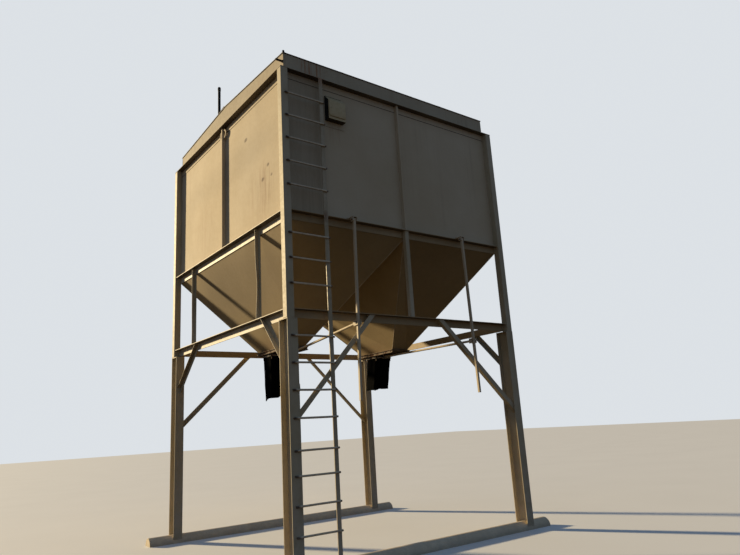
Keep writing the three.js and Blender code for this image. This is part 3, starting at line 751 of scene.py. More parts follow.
PANEL_PLANE = 1808
WALL_BEAD = -PANEL_PLANE - 1.5
WALL_FOOT = RING_TOPS["box_beam"]
LAP_LEVEL = 5869
FIN_BEAD = 13.5  # how far the fin's welds lie off its middle
FIN_BEAD_FEET = range(4150, 5751, 200)
FIN_BEAD_LENGTH = 55
LAP_STEPS = 24
LEFT_WALL = -PANEL_PLANE / 1000
wall_stains = [
    ((LEFT_WALL, -0.626, 5.48), (0.05, 0.070, 0.040), 0.0, 1.0, DARK_RUST),
    ((LEFT_WALL, -1.12, 4.708), (0.05, 0.060, 0.040), 0.0, 1.0, DARK_RUST),
    ((LEFT_WALL, -1.27, 4.86), (0.05, 0.050, 0.035), 0.0, 0.9, DARK_RUST),
    ((LEFT_WALL, -1.36, 4.69), (0.05, 0.040, 0.030), 0.0, 0.8, DARK_RUST),
    ((LEFT_WALL, -1.20, 4.60), (0.05, 0.24, 0.46), 1.0, 0.35, RUST),
    ((LEFT_WALL, -1.05, 4.55), (0.05, 0.50, 0.55), 1.0, 0.20, RUN_RUST),
    # The next two broad stains darken a band across the left wall and the wall's front half.
    ((LEFT_WALL, -0.10, 5.25), (0.05, 2.60, 0.34), 0.0, 0.13, GRIME_AND_PAINTED_SHADE),
    ((LEFT_WALL, -1.15, 5.15), (0.05, 1.60, 1.30), 0.0, 0.13, GRIME_AND_PAINTED_SHADE),
    ((LEFT_WALL, 0.85, 4.60), (0.05, 0.55, 0.60), 1.0, 0.16, RUN_RUST),
    ((-1.06, -1.75, 5.30), (0.20, 0.12, 0.30), 1.0, 0.14, RUN_RUST),
    # Painted shade: the front wall between the ladder and the corner post is darkened.
    ((-1.57, -1.741, 5.00), (0.44, 0.10, 2.20), 1.0, 0.34, GRIME_AND_PAINTED_SHADE),
]
wall_finish = painted_steel(
    "tan_wall_paint", TAN, FADED_TAN, patches=0.55, runs=(14.0, 0.30, 0.20), rust=(5.0, 0.03),
    edges=(0.003, 0.5), dust=(0.1, 0.35), stains=wall_stains, bump=0.0003, waves=0.012, mottle=0.2,
    gloss=-0.12,
)
# Painted shadow: the dark bead under each lap band is sealant and also stands in for the band's shadow.
lap_shadow_and_sealant_finish = painted_steel(
    "dark_sealant_and_lap_shadow", (0.045, 0.038, 0.030, 1), (0.09, 0.075, 0.06, 1), patches=6.0,
    runs=(20.0, 2.0, 0.2), rust=(14.0, 0.05), edges=(0.002, 0.0), bump=0.001,
)
dress([f"wall_{side}" for side in SIDES], wall_finish, 1.2)
for side in SIDES:
    drawing = bmesh.new()
    for end in (-1, 1):
        edge_x = end * (POST_INNER - 2)
        add_weld(drawing, [(edge_x, -PANEL_PLANE - 1, z) for z in (WALL_FOOT + 2, LAP_LEVEL - 1)], 3.5)
        for low in FIN_BEAD_FEET:
            add_weld(drawing, [(end * FIN_BEAD, WALL_BEAD, z) for z in (low, low + FIN_BEAD_LENGTH)], 3.5)
    drawing.transform(turned(side))
    piece(f"wall_{side}_welds", drawing, weld_finish)

    # A dark bead under the lap band: sealant, and painted shadow of the band's edge.
    drawing = bmesh.new()
    for low, high in ((1 - POST_INNER, -14), (14, POST_INNER - 1)):
        steps = [low + (high - low) * i / LAP_STEPS for i in range(LAP_STEPS + 1)]
        add_sweep(drawing, [(x, WALL_BEAD, LAP_LEVEL + draw.uniform(-0.8, 0.8)) for x in steps], 4.2, 8)
    drawing.transform(turned(side))
    piece(f"wall_{side}_lap_shadow_and_sealant", drawing, lap_shadow_and_sealant_finish)

# Top flange and cap: a ring of steel plate on the posts, and above it a set-back fascia of sheet
# with a low gable at the left and right, stitch-welded to the plate. Rust has run down it by the ladder.

CAP_PLANE = 1805
FLANGE_TOP = FLANGE_FOOT + 8
EAVES = 6220
STITCH_STEP = 190
STITCH_LENGTH = 60
LEFT_FASCIA = -CAP_PLANE / 1000
cap_stains = [
    ((-1.40, -1.76, 6.13), (0.30, 0.12, 0.24), 1.0, 1.0, RUN_RUST),
    ((-1.318, -1.8, 5.95), (0.12, 0.2, 0.12), 0.3, 0.9, RUN_RUST),
    ((LEFT_FASCIA, -1.05, 6.12), (0.05, 0.30, 0.10), 1.0, 0.3, RUN_RUST),
    # Painted shade: this broad stain darkens the whole left fascia, toning down the light on it.
    ((LEFT_FASCIA, 0.30, 6.10), (0.05, 3.60, 0.90), 0.0, 0.30, GRIME_AND_PAINTED_SHADE),
]
cap_finish = painted_steel(
    "tan_cap_paint", (0.40, 0.33, 0.22, 1), (0.46, 0.39, 0.275, 1), patches=0.9, runs=(15.0, 0.6, 0.42),
    rust=(7.0, 0.07), edges=(0.003, 0.6), dust=(0.1, 0.4), stains=cap_stains, bump=0.0004, waves=0.012,
    mottle=0.3, underside_shade=1.0, gloss=-0.06,
)
dress(["top_flange", "cap"], cap_finish, 1.0)
drawing = bmesh.new()
for side in SIDES:
    part = bmesh.new()
    for low in range(20 - CAP_PLANE, CAP_PLANE - STITCH_LENGTH, STITCH_STEP):
        add_weld(part, [(x, -CAP_PLANE - 1.5, FLANGE_TOP + 1) for x in (low, low + STITCH_LENGTH)], 3.5)
    take_in(drawing, part, side)
corner_out = CAP_PLANE + 0.5
for a, b in SQUARE:
    add_weld(drawing, [(a * corner_out, b * corner_out, z) for z in (FLANGE_TOP + 1, EAVES - 10)], 3.0)
piece("cap_welds", drawing, weld_finish)

# Roof: thin steel sheet laid in four widths over a low ridge, screwed through lap joints, with a
# folded ridge strip. It is bare weathered steel, and from below it is only a dark edge.

RIDGE_RISE = 110
ROOF_SLOPE = RIDGE_RISE / CAP_PLANE
ROOF_TOP = EAVES + 10.3
LAP_XS = (-906, 0, 906)
LAP_OUTLINE = ((-32, 1812), (32, 1812), (32, 60), (-32, 60))
RIDGE_PROFILE = ((-115, 0.5), (-112, 4.5), (-8, 4.5), (0, 6), (8, 4.5), (112, 4.5), (115, 0.5))
RIDGE_HALF_LENGTH = 1813
RIDGE_SCREW_Y = 85
ROOF_SCREW = 7
LAP_SCREW_YS = range(150, 1751, 200)
RIDGE_SCREW_XS = range(-1680, 1681, 280)


def roof_level(y):
    return ROOF_TOP + (CAP_PLANE - abs(y)) * ROOF_SLOPE


def add_bolt(bm, place, axis, size):
    """A hexagon head on a washer, with its underside at a place and its head along an axis."""
    place = Vector(place)
    axis = Vector(axis).normalized()
    side = axis.orthogonal().normalized()
    up = axis.cross(side)
    washer = (20, size * 1.05, 0.0, size * 0.16)
    hexagon = (6, size * 0.92, size * 0.16, size * 0.80)
    for sides, radius, low, high in (washer, hexagon):
        rims = ((low, radius), (high - size * 0.08, radius), (high, 0.86 * radius))
        join_loops(bm, [round_loop(place + axis * depth, side, up, rim, sides) for depth, rim in rims])


roof_finish = painted_steel(
    "weathered_roof_steel", (0.085, 0.078, 0.070, 1), (0.17, 0.16, 0.145, 1), patches=1.6,
    runs=(3.0, 3.0, 0.5), rust=(3.0, 0.30), edges=(0.003, 0.6), dust=(0.1, 0.35), bump=0.0015, waves=0.02,
)
dress(["roof"], roof_finish, 1.0)
drawing = bmesh.new()
for slope in (-1, 1):
    for x in LAP_XS:
        strip = [[(x + dx, slope * y, roof_level(y) + lift) for dx, y in LAP_OUTLINE] for lift in (-1, 3)]
        join_loops(drawing, strip)
        for y in LAP_SCREW_YS:
            add_bolt(drawing, (x, slope * y, roof_level(y) + 3), (0, 0, 1), ROOF_SCREW)
over = [(y, roof_level(y) + lift) for y, lift in RIDGE_PROFILE]
under = [(y, roof_level(y) - 1) for y, lift in reversed(RIDGE_PROFILE)]
join_loops(drawing, [[(x, y, z) for y, z in over + under] for x in (-RIDGE_HALF_LENGTH, RIDGE_HALF_LENGTH)])
screw_foot = roof_level(RIDGE_SCREW_Y) + 4.5
for slope in (-1, 1):
    for x in RIDGE_SCREW_XS:
        add_bolt(drawing, (x, slope * RIDGE_SCREW_Y, screw_foot), (0, 0, 1), ROOF_SCREW)
piece("roof_laps_and_ridge", drawing, roof_finish)

# Mast: a length of black steel pipe welded to a foot plate by the left gable, with a plug in its
# top. The plate is bolted to the roof, and a low black flashing lies beside it.

MAST_X = -1750
MAST_Y = 360
MAST_TOP = 6860
MAST_BEAD = 22
MAST_PLATE = 12
MAST_BOLT = 38  # how far each bolt lies off the pipe's middle
PLUG = ((60, 22), (56, 24), (12, 24), (4, 21), (1, 12))  # depth below the top, and radius
FLASHING = ((-1806, 300), (-1806, 60), (-1560, 60), (-1560, 300))
FLASHING_STEP = 100  # nearer the ridge than this it stands higher
black_finish = painted_steel(
    "black_pipe_paint", (0.010, 0.010, 0.011, 1), (0.028, 0.027, 0.026, 1), patches=5.0,
    runs=(20.0, 2.0, 0.15), rust=(14.0, 0.12), edges=(0.002, 0.4), dust=(0.1, 0.25), bump=0.0008, shine=0.2,
)
dress(["mast_pipe"], black_finish)
drawing = bmesh.new()
foot = roof_level(MAST_Y)
bead_middle = Vector((MAST_X, MAST_Y, foot + MAST_PLATE + 1))
bead = round_loop(bead_middle, Vector((1, 0, 0)), Vector((0, 1, 0)), MAST_BEAD, 16)
add_weld(drawing, bead, 4.0, closed=True)
for a, b in SQUARE:
    bolt_foot = (MAST_X + a * MAST_BOLT, MAST_Y + b * MAST_BOLT, foot + MAST_PLATE - b * 2)
    add_bolt(drawing, bolt_foot, (0, 0, 1), 8)
add_sweep(drawing, [(MAST_X, MAST_Y, MAST_TOP - depth) for depth, radius in PLUG],
          [radius for depth, radius in PLUG], 20)
lower = [(x, y, roof_level(y) - 2) for x, y in FLASHING]
upper = [(x, y, roof_level(y) + (34 if y < FLASHING_STEP else 12)) for x, y in FLASHING]
join_loops(drawing, [lower, upper])
piece("mast_fittings", drawing, black_finish, bevel=1.0)

# Hoppers: two funnels of welded steel sheet under the box that meet on its centre line. The sheets
# are joined along their corners with an outside seam and the rim is stitched to the ring beam.

HOPPER_CENTRE_X = 945
OUTLET_X = (-145, 145)
OUTLET_Y = (-390, 420)
OUTLET_Z = 2660
RIM_Y = (-1800, 1800)
RIM_Z = 3974
SEAM_LENGTH = 1500
hopper_stains = [
    ((-0.95, 0.1, 2.75), (0.40, 0.65, 0.20), 0.2, 0.45, RUST),
    ((0.95, 0.1, 2.75), (0.40, 0.65, 0.20), 0.2, 0.45, RUST),
    # This broad stain darkens the upper outer part of the left hopper.
    ((-1.60, 0.0, 3.50), (0.42, 2.40, 1.00), 0.0, 0.30, GRIME_AND_PAINTED_SHADE),
]
# Painted shade: the hoppers' paint is a darker brown than the box's tan, for the shade under the box.
shade_darkened_hopper_paint = painted_steel(
    "shade_darkened_tan_hopper_paint", (0.295, 0.215, 0.10, 1), (0.335, 0.25, 0.128, 1), patches=0.9, runs=(5.0, 0.8, 0.25),
    rust=(6.0, 0.04), edges=(0.003, 0.4), stains=hopper_stains, bump=0.0002, waves=0.01, mottle=0.35,
    gloss=-0.05, underside_shade=0.5,
)
dress(["hopper_left", "hopper_right"], shade_darkened_hopper_paint, 1.2)
BOTH_SIDES = (("left", -1), ("right", 1))
for name, side in BOTH_SIDES:
    drawing = bmesh.new()
    rim_x = (0, 1800) if side > 0 else (-1800, 0)
    foot_x = [side * HOPPER_CENTRE_X + x for x in OUTLET_X]
    for i in range(2):
        set_in = 12 if rim_x[i] == 0 else 3
        for j in range(2):
            top = Vector((rim_x[i], RIM_Y[j], RIM_Z))
            low = Vector((foot_x[i], OUTLET_Y[j], OUTLET_Z))
            add_weld(drawing, [top.lerp(low, set_in / SEAM_LENGTH), low], 4.5)
    collar = [(foot_x[a], OUTLET_Y[b], OUTLET_Z + 4) for a, b in ((0, 0), (1, 0), (1, 1), (0, 1))]
    add_weld(drawing, collar, 5.0, closed=True)
    piece(f"hopper_{name}_seams", drawing, weld_finish)

# Gates: under each hopper a floor plate with rails, in which a steel plate slides over the
# outlet, and a short spout below. Flat bars edge the rails above and below, with bolts between.

RAIL_OUTER = 178
RAIL_HALF = 430
RAIL_MIDDLE_Z = 2637
EDGE_BAR = 16
EDGE_BAR_ZS = ((2613, 2621), (2652, 2660))
RAIL_BOLT_YS = (-380, -190, 0, 190, 380)
RIM_BOLT_X = 155
RIM_BOLT_YS = (-405, 405)
LUG_Y = -25
LUG_HALF = 8
LUG_GUSSET = ((29, 2612), (41, 2626))  # behind the lug's middle, and height
gate_finish = painted_steel(
    "rusty_gate_steel", (0.13, 0.085, 0.05, 1), (0.24, 0.17, 0.105, 1), patches=3.0, runs=(9.0, 2.0, 0.5),
    rust=(9.0, 0.62), edges=(0.004, 0.9), dust=(0.1, 0.25), bump=0.0012, mottle=0.7, gloss=-0.12, underside_shade=1.0,
)
slide_finish = painted_steel(
    "bare_gate_plate", (0.12, 0.10, 0.085, 1), (0.20, 0.175, 0.15, 1), patches=4.0, runs=(12.0, 12.0, 0.3),
    rust=(8.0, 0.62), edges=(0.003, 0.3), bump=0.002,
)
bolt_finish = painted_steel(
    "rusted_bolts", (0.17, 0.145, 0.12, 1), (0.26, 0.23, 0.19, 1), patches=9.0, runs=(20.0, 20.0, 0.3),
    rust=(26.0, 0.60), edges=(0.002, 0.5), bump=0.001, gloss=-0.08,
)


def add_box(bm, low, high):
    """A box between two corners, in millimetres."""
    outline = ((low[0], low[1]), (high[0], low[1]), (high[0], high[1]), (low[0], high[1]))
    join_loops(bm, [[(x, y, z) for x, y in outline] for z in (low[2], high[2])])


dress(["gate_frame_left", "gate_frame_right"], gate_finish, 1.2)
dress(["gate_left", "gate_right"], slide_finish, 0.8)
for name, side in BOTH_SIDES:
    middle = side * HOPPER_CENTRE_X
    drawing = bmesh.new()
    for face in (-1, 1):
        for y in RAIL_BOLT_YS:
            add_bolt(drawing, (middle + face * RAIL_OUTER, y, RAIL_MIDDLE_Z), (face, 0, 0), 8)
        for y in RIM_BOLT_YS:
            add_bolt(drawing, (middle + face * RIM_BOLT_X, y, OUTLET_Z), (0, 0, 1), 11)
    piece(f"gate_frame_{name}_bolts", drawing, bolt_finish)

    drawing = bmesh.new()
    for face in (-1, 1):
        near, far = sorted((middle + face * RAIL_OUTER, middle + face * (RAIL_OUTER + EDGE_BAR)))
        for low, high in EDGE_BAR_ZS:
            add_box(drawing, (near, -RAIL_HALF, low), (far, RAIL_HALF, high))
    piece(f"gate_frame_{name}_edges", drawing, gate_finish, bevel=1.2)

    drawing = bmesh.new()
    lug_edges = (-LUG_HALF, LUG_HALF)
    add_weld(drawing, [(middle + dx, LUG_Y - 5, RAIL_MIDDLE_Z + 2) for dx in lug_edges], 2.0)
    for dx in lug_edges:
        add_weld(drawing, [(middle + dx, LUG_Y + dy, z) for dy, z in LUG_GUSSET], 3.0)
    piece(f"gate_{name}_lug_welds", drawing, bolt_finish, f"slide_gate_{name}")

# Pull gear: a square lever hangs from a bolt in front of each gate, and a rod with a fork at
# each end joins it to the gate's lug. Pulling the lever's foot forwards opens the gate. All are
# steel bar with the tan paint, on pins held by washers and split pins.

PIVOT_Y = -1970
PIVOT_Z = 4046
LEAN = math.radians(1.52)
PULLS = {
    # side, lean, height of the gate's lug, and the pin's distance below the pivot
    "left": (-1, LEAN, 2560, 1306),
    "right": (1, -LEAN, 2600, 1472),
}
BRACKET_TOP = 4078
BRACKET_CHEEK = 32.5
BRACKET_HALF = 38
BRACKET_YS = (-1890, -1832)
BRACKET_BOLT_X = 24
BRACKET_BOLT_YS = (-1880, -1850)
LEVER_PIN_SIDE = 30.5
LEVER_WASHERS = ((0.0, 14), (2.0, 13))  # how far out, and radius
LUG_PIN_SIDE = 14.2
lever_finish = painted_steel(
    "tan_lever_paint", TAN, FADED_TAN, patches=1.4, runs=(13.0, 0.7, 0.45), rust=(11.0, 0.16),
    edges=(0.0045, 0.6), dust=(0.75, 0.4), bump=0.0006, mottle=0.4, gloss=0.04, underside_shade=0.6,
)


def add_washer(bm, x, y, z, face, thick, radius):
    """A washer on a cross pin, outwards from a place on it."""
    low, high = sorted((x, x + face * thick))
    add_sweep(bm, [(low, y, z), (high, y, z)], radius, 20)


def add_split_pin(bm, x, y, z, dy, dz, radius):
    """A split pin put slantwise through the end of a cross pin."""
    add_sweep(bm, [(x, y - dy, z + dz), (x, y, z), (x, y + dy, z - dz)], radius, 6)


dress(["lever_left", "lever_right", "rod_left", "rod_right"], lever_finish, 2.5)
dress(["lever_bracket_left", "lever_bracket_right"], lever_finish, 1.5)
for name, (side, lean, lug_z, pull_radius) in PULLS.items():
    middle = side * HOPPER_CENTRE_X
    drawing = bmesh.new()
    for face in (-1, 1):
        add_bolt(drawing, (middle + face * BRACKET_CHEEK, PIVOT_Y, PIVOT_Z), (face, 0, 0), 14)
        for y in BRACKET_BOLT_YS:
            add_bolt(drawing, (middle + face * BRACKET_BOLT_X, y, BRACKET_TOP + 8), (0, 0, 1), 10)
    for x in (middle - BRACKET_HALF, middle + BRACKET_HALF):
        add_weld(drawing, [(x, y, BRACKET_TOP) for y in BRACKET_YS], 4.0)
    piece(f"lever_bracket_{name}_bolts", drawing, bolt_finish)

    pin_y = PIVOT_Y + pull_radius * math.sin(lean)
    pin_z = PIVOT_Z - pull_radius * math.cos(lean)
    drawing = bmesh.new()
    for face in (-1, 1):
        for out_by, radius in LEVER_WASHERS:
            add_washer(drawing, middle + face * (LEVER_PIN_SIDE + out_by), pin_y, pin_z, face, 1.6, radius)
        add_split_pin(drawing, middle + face * (LEVER_PIN_SIDE + 4), pin_y, pin_z, 9, 14, 1.6)
    piece(f"lever_{name}_pin_washers", drawing, bolt_finish, f"pull_lever_{name}")

    drawing = bmesh.new()
    for face in (-1, 1):
        add_washer(drawing, middle + face * LUG_PIN_SIDE, LUG_Y, lug_z, face, 2, 14)
        add_split_pin(drawing, middle + face * (LUG_PIN_SIDE + 3.4), LUG_Y, lug_z, 8, 12, 1.4)
    piece(f"rod_{name}_pin_washers", drawing, bolt_finish, f"pull_rod_{name}")

# Skirts: a sleeve of black rubber belting hangs from each spout, held round it by flat bars.
# The rubber is stiff, creased near the top and worn to an uneven hem below.

rubber, tree = bare_material("black_rubber_belting")
place = surface_place(tree)
stretch = vector_sum(tree, "MULTIPLY", place, (60.0, 60.0, 5.0))
scuffs = ramp(tree, noise(tree, stretch, 1.0, 6.0, 0.7), 0.48, 0.78)
film = times(tree, ramp(tree, noise(tree, place, 6.0, 6.0, 0.65), 0.45, 0.85), 0.03)
colour = blend_colours(tree, scuffs, (0.0012, 0.0012, 0.0014, 1), (0.0035, 0.0035, 0.0035, 1))
colour = blend_colours(tree, film, colour, (0.04, 0.036, 0.028, 1))
weave = add(tree, "TexWave", {"Vector": place, "Scale": 95.0, "Distortion": 0.6}, bands_direction="DIAGONAL")
height = sum_up(tree, "ADD", times(tree, weave.outputs["Fac"], 0.25), scuffs)
bumped = add(tree, "Bump", {"Height": height, "Distance": 0.0015, "Strength": 0.7}).outputs[0]
rough = ramp(tree, scuffs, 0.0, 1.0, 0.85, 1.0)
values = {"Base Color": colour, "Roughness": rough, "Normal": bumped, "Specular IOR Level": 0.012}
finish_material(tree, values)

SKIRT_TOP = 2612
SKIRT_Y = 165
SKIRT_HALF = (152.2, 132.2)
SKIRT_SQUARENESS = 2 / 9
SKIRT_THICK = 0.005
CLAMPED = 0.09  # the share of the sleeve that the bars hold to the spout
FOLDS_RADIUS = 150
TAPER = 0.035
HEM_WAVE = 7
SLACK = 5
SKIRTS = {
    # feet at the rear left, front left, front right and rear right corners, how far the foot
    # hangs out of line along X and Y, and the seed of the creases
    "left": ((1952, 2052, 2040, 2035), (8, 0), 11),
    "right": ((2080, 2070, 2100, 2108), (-44, 24), 12),
}
FOOT_TURNS = [math.pi * quarter for quarter in (0.75, 1.25, 1.75, 0.25)]
AROUND = 120
DOWN = 46
BAR_ZS = (2578, 2603)
BAR_FACE_X = 161.5
BAR_FACES_Y = (23.5, 306.5)
BAR_THICK = 5
BAR_HALF_X = 145
BAR_HALF_Y = 125


def between_turns(first, second):
    """The angle between two turns, the short way round."""
    return abs((first - second + math.pi) % (2 * math.pi) - math.pi)


def power_of(number):
    return math.copysign(abs(number) ** SKIRT_SQUARENESS, number)


def skirt_foot(turn, feet):
    """The hem's height at a turn, blended from the feet at the four corners."""
    weights = [max(0.0, 1 - between_turns(turn, at) / (math.pi / 2)) ** 1.6 + 0.02 for at in FOOT_TURNS]
    return sum(w * z for w, z in zip(weights, feet)) / sum(weights)


for name, side in BOTH_SIDES:
    feet, (aside, behind), seed = SKIRTS[name]
    middle = side * HOPPER_CENTRE_X
    chance = random.Random(seed)
    creases = []
    for _ in range(9):
        creases.append((chance.uniform(0, 2 * math.pi), chance.uniform(0.16, 0.34), chance.uniform(5, 13)))
    fray = [chance.uniform(-3, 3) for _ in range(AROUND)]
    ripple = creases[-1][0]
    rows = []
    for j in range(DOWN + 1):
        v = j / DOWN
        fall = max(0.0, v - CLAMPED) / (1 - CLAMPED)
        row = []
        for i in range(AROUND):
            turn = 2 * math.pi * i / AROUND
            foot = skirt_foot(turn, feet) + HEM_WAVE * math.sin(3 * turn + seed) + fray[i] * 0.6
            pull = 0
            for at, spread, depth in creases:
                pull += depth * math.exp(-((between_turns(turn, at) / spread) ** 2))
            pull *= fall ** 0.7 * (0.75 + 0.25 * math.sin(5 * v + ripple))
            slack = SLACK * math.sin(2.2 * math.pi * v + 2 * turn) * fall
            shrink = 1 - (pull + abs(slack)) / FOLDS_RADIUS - TAPER * fall
            x = SKIRT_HALF[0] * power_of(math.cos(turn)) * shrink + aside * fall
            y = SKIRT_HALF[1] * power_of(math.sin(turn)) * shrink + behind * fall
            row.append((middle + x, SKIRT_Y + y, SKIRT_TOP + (foot - SKIRT_TOP) * v))
        rows.append(row)
    drawing = bmesh.new()
    join_loops(drawing, rows, ends=False)
    sleeve = piece(f"skirt_{name}_sleeve", drawing, rubber, stands_for=[f"skirt_{name}"],
                   crease=60)
    thick = sleeve.modifiers.new("belting", "SOLIDIFY")
    thick.thickness = SKIRT_THICK
    thick.offset = 0.0

    drawing = bmesh.new()
    bar_low, bar_high = BAR_ZS
    bar_middle = (bar_low + bar_high) / 2
    for face in (-1, 1):
        near, far = sorted((middle + face * (BAR_FACE_X - BAR_THICK), middle + face * BAR_FACE_X))
        add_box(drawing, (near, SKIRT_Y - BAR_HALF_Y, bar_low), (far, SKIRT_Y + BAR_HALF_Y, bar_high))
        for y in (SKIRT_Y - 90, SKIRT_Y, SKIRT_Y + 90):
            add_bolt(drawing, (middle + face * BAR_FACE_X, y, bar_middle), (face, 0, 0), 8)
    for bar_face, face in zip(BAR_FACES_Y, (-1, 1)):
        near, far = sorted((bar_face, bar_face - face * BAR_THICK))
        add_box(drawing, (middle - BAR_HALF_X, near, bar_low), (middle + BAR_HALF_X, far, bar_high))
        for x in (-100, 0, 100):
            add_bolt(drawing, (middle + x, bar_face, bar_middle), (0, face, 0), 8)
    piece(f"skirt_{name}_clamp_bars", drawing, bolt_finish, bevel=0.8)

# Ladder: round steel bars welded across the front of the corner post and leg and a flat bar that runs
# from the top flange down to the skid. The bars' cut ends are dark with rust.

STILE_X = (-1345, -1290)
STILE_FRONT = -POST_PLANE - 2
STILE_BACK = -POST_PLANE + 10
STILE_STEPS = 4
RUNGS_X = (-1856, -1280)
RUNG_Y = -1912.3
RUNG_RADIUS = 12
RUNG_PITCH = 304.8
RUNG_TOP = 5603
RUNG_STEPS = 12
RUNG_COUNT = 18
RUNGS_AT_BEAMS = (5, 9)  # no rung crosses where a ring beam passes
LOW_RUNG = 14
LOW_RUNG_DROP = 40  # this rung sits so much lower than its place
STILE_BEAD_ZS = (4068, 4040)  # where the stile crosses the ring beam under the box
ladder_stains = [
    ((-1.318, -1.83, 5.93), (0.09, 0.09, 0.11), 0.5, 0.9, RUN_RUST),
    ((-1.318, -1.83, 4.05), (0.09, 0.09, 0.10), 0.4, 0.6, RUST),
]
ladder_finish = painted_steel(
    "tan_ladder_paint", (0.36, 0.295, 0.185, 1), (0.45, 0.38, 0.26, 1), patches=2.0, runs=(16.0, 0.9, 0.4),
    rust=(13.0, 0.14), edges=(0.003, 0.6), dust=(1.9, 0.8), stains=ladder_stains, bump=0.0014, gloss=0.15,
)
rung_stains = [
    ((-1.846, -1.845, 3.2), (0.050, 0.06, 9.0), 0.0, 1.0, DARK_RUST),
    ((-1.290, -1.845, 3.2), (0.020, 0.06, 9.0), 0.0, 0.9, DARK_RUST),
]
# Painted highlight: the rungs' paint is much paler than the stile's, partly for wear and partly for sky light
# on their tops.
rung_paint_paled_as_highlight = painted_steel(
    "worn_rung_paint_paled_as_highlight", (0.60, 0.51, 0.37, 1), (0.68, 0.59, 0.45, 1), patches=6.0, runs=(20.0, 9.0, 0.4),
    rust=(10.0, 0.14), edges=(0.003, 0.5), dust=(0.75, 0.4), stains=rung_stains, bump=0.002, gloss=0.12,
)
foot_front = saddle_height(STILE_FRONT + SKID_Y) + 0.5
foot_back = saddle_height(STILE_BACK + SKID_Y) + 0.5
stile_section = ((STILE_X[0], STILE_FRONT, foot_front), (STILE_X[1], STILE_FRONT, foot_front),
                 (STILE_X[1], STILE_BACK, foot_back), (STILE_X[0], STILE_BACK, foot_back))
loops = []
for step in range(STILE_STEPS + 1):
    share = step / STILE_STEPS
    loops.append([(x, y, foot + (FLANGE_FOOT - foot) * share) for x, y, foot in stile_section])
drawing = bmesh.new()
join_loops(drawing, loops)
piece("ladder_stile", drawing, ladder_finish, stands_for=["ladder"], bevel=1.0, crease=50)

drawing = bmesh.new()
ladder_welds = bmesh.new()
rung_length = RUNGS_X[1] - RUNGS_X[0]
for k in range(RUNG_COUNT):
    if k in RUNGS_AT_BEAMS:
        continue
    z = RUNG_TOP - RUNG_PITCH * k - (LOW_RUNG_DROP if k == LOW_RUNG else 0)
    slant = draw.uniform(-2.5, 2.5)
    bow = draw.uniform(-2.0, 2.0)
    path = []
    for i in range(RUNG_STEPS + 1):
        t = i / RUNG_STEPS
        level = z + slant * (t - 0.5) + bow * math.sin(math.pi * t)
        path.append((RUNGS_X[0] + rung_length * t, RUNG_Y, level))
    near, far = path[0], path[-1]
    path = [near, (near[0] + 2, RUNG_Y, near[2])] + path[1:-1] + [(far[0] - 2, RUNG_Y, far[2]), far]
    cut = RUNG_RADIUS - 2
    add_sweep(drawing, path, [cut] + [RUNG_RADIUS] * (len(path) - 2) + [cut], 16)
    support = -POST_INNER if z > POST_FOOT else LEG_WIDTH - POST_PLANE
    for rise in (-1, 1):
        for low, high in ((RUNGS_X[0] + 3, support - 4), (STILE_X[0] + 2, STILE_X[1] - 2)):
            level = z + slant * (((low + high) / 2 - RUNGS_X[0]) / rung_length - 0.5) + rise * 10
            add_weld(ladder_welds, [(x, -POST_PLANE - 3.5, level) for x in (low, high)], 3.6)
piece("ladder_rungs", drawing, rung_paint_paled_as_highlight, crease=50)
for x in STILE_X:
    add_weld(ladder_welds, [(x, y, FLANGE_FOOT - 2) for y in (STILE_FRONT + 1, STILE_BACK)], 3.0)
    add_weld(ladder_welds, [(x, STILE_FRONT + 1, z) for z in STILE_BEAD_ZS], 3.0)
add_weld(ladder_welds, [(x, STILE_FRONT + 1, foot_front + 1) for x in STILE_X], 4.5)
piece("ladder_welds", ladder_welds, weld_finish)

# Hooded box: a small black steel housing welded to the front wall beside the ladder. Its top
# slopes down from the wall, and a thin beige cover with rounded corners is screwed to its face.

HOOD_X = (-1205, -935)
HOOD_FACE = -1898
HOOD_FOOT = 5425
HOOD_BROW = 5696
HOOD_HEAD = 5787
BEIGE_FACE_AREA = 0.01  # only the housing's broad faces are larger than this, in square metres
COVER_MIDDLE = (-1070, 5575)
COVER_HALF = (129, 115)
COVER_CORNERS = ((1, 1, 14), (-1, 1, 14), (-1, -1, 34), (1, -1, 34))  # the lower two are rounder
COVER_PROFILE = ((-1898.3, 1.0), (-1900, 0), (-1905, 0), (-1908, 1.5), (-1909.6, 5))
COVER_STEPS = 10
COVER_SCREW_X = 100
COVER_SCREW_YS = (-1909, -1909.8)
beige_finish = painted_steel(
    "beige_cover_paint", (0.49, 0.385, 0.205, 1), (0.54, 0.435, 0.25, 1), patches=4.0,
    runs=(18.0, 2.2, 0.35), rust=(14.0, 0.05), edges=(0.003, 0.3), bump=0.0007,
)
drawing = bmesh.new()
hood_back = -PANEL_PLANE - 0.5
bead_y = -PANEL_PLANE - 2
section = ((HOOD_FACE + 0.3, HOOD_FOOT), (hood_back, HOOD_FOOT), (hood_back, HOOD_HEAD),
           (HOOD_FACE + 0.3, HOOD_BROW))
join_loops(drawing, [[(x, y, z) for y, z in section] for x in HOOD_X])
for x in (HOOD_X[0] + 1, HOOD_X[1] - 1):
    add_weld(drawing, [(x, bead_y, HOOD_FOOT + 4), (x, bead_y, HOOD_HEAD - 4)], 3.0)
add_weld(drawing, [(x, bead_y, HOOD_HEAD) for x in (HOOD_X[0] + 4, HOOD_X[1] - 4)], 3.0)
housing = piece("hood_housing", drawing, black_finish, stands_for=["hood_box"], bevel=2.5,
                segments=3)
housing.data.materials.append(beige_finish)
for polygon in housing.data.polygons:
    if polygon.area > BEIGE_FACE_AREA and (polygon.normal.y < -0.99 or polygon.normal.z > 0.3):
        polygon.material_index = 1

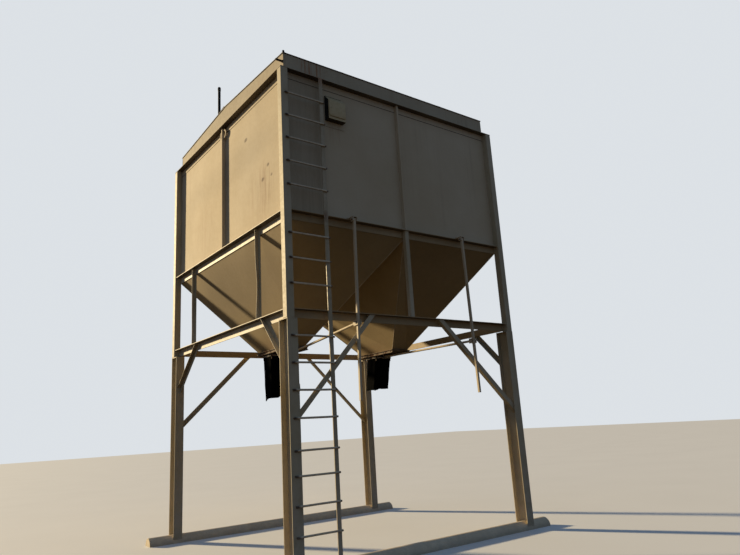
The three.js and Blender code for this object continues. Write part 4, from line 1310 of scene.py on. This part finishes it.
rows = []
for depth, inset in COVER_PROFILE:
    ring = []
    for quarter, (side_x, side_z, corner_radius) in enumerate(COVER_CORNERS):
        corner_x = COVER_MIDDLE[0] + side_x * (COVER_HALF[0] - corner_radius)
        corner_z = COVER_MIDDLE[1] + side_z * (COVER_HALF[1] - corner_radius)
        radius = corner_radius - inset
        for i in range(COVER_STEPS + 1):
            angle = math.radians(90 * quarter + 90 * i / COVER_STEPS)
            ring.append((corner_x + radius * math.cos(angle), depth, corner_z + radius * math.sin(angle)))
    rows.append(ring)
drawing = bmesh.new()
join_loops(drawing, rows)
piece("hood_cover_plate", drawing, beige_finish, stands_for=["hood_cover"], crease=60)
drawing = bmesh.new()
for side in (-1, 1):
    screw_x = COVER_MIDDLE[0] + side * COVER_SCREW_X
    add_sweep(drawing, [(screw_x, y, COVER_MIDDLE[1]) for y in COVER_SCREW_YS], [6, 4.5], 16)
piece("hood_cover_screws", drawing, bolt_finish)

# Small fittings, all of steel and welded on: a black stub and rod on the front left corner of the
# roof, a strip low on the front wall beside the ladder and a hook plate on the front left leg.

STUB = -1795
STUB_ZS = (6212, 6262, 6266)
STUB_COLLAR_ZS = (6230, 6238)
ROD_XS = (-1800, -1905, -1910)
ROD_COLLAR_XS = (-1805.5, -1812)
ROD_Y = -1790
ROD_Z = 6105
ROD_RADIUS = 14
STRIP_X = (-1220, -910)
STRIP_Z = (5346, 5354)
HOOK = ((-1767, 1930), (-1752, 1936), (-1746, 1952), (-1756, 1958), (-1760, 2010), (-1767, 2020))
HOOK_YS = (-1900, -1892)
drawing = bmesh.new()
bar_radii = [ROD_RADIUS, ROD_RADIUS, ROD_RADIUS - 3]
add_sweep(drawing, [(STUB, STUB, z) for z in STUB_ZS], bar_radii, 16)
add_sweep(drawing, [(STUB, STUB, z) for z in STUB_COLLAR_ZS], 19, 20)
add_sweep(drawing, [(x, ROD_Y, ROD_Z) for x in ROD_XS], bar_radii, 16)
add_sweep(drawing, [(x, ROD_Y, ROD_Z) for x in ROD_COLLAR_XS], 20, 20)
piece("roof_corner_stub", drawing, black_finish)
drawing = bmesh.new()
add_box(drawing, (STRIP_X[0], -PANEL_PLANE - 5, STRIP_Z[0]), (STRIP_X[1], -PANEL_PLANE - 0.2, STRIP_Z[1]))
add_weld(drawing, [(x, WALL_BEAD, STRIP_Z[0] - 2) for x in STRIP_X], 2.0)
piece("front_wall_strip", drawing, wall_finish, bevel=0.6)
drawing = bmesh.new()
join_loops(drawing, [[(x, y, z) for x, z in HOOK] for y in HOOK_YS])
piece("leg_hook_plate", drawing, frame_finish, bevel=1.0)
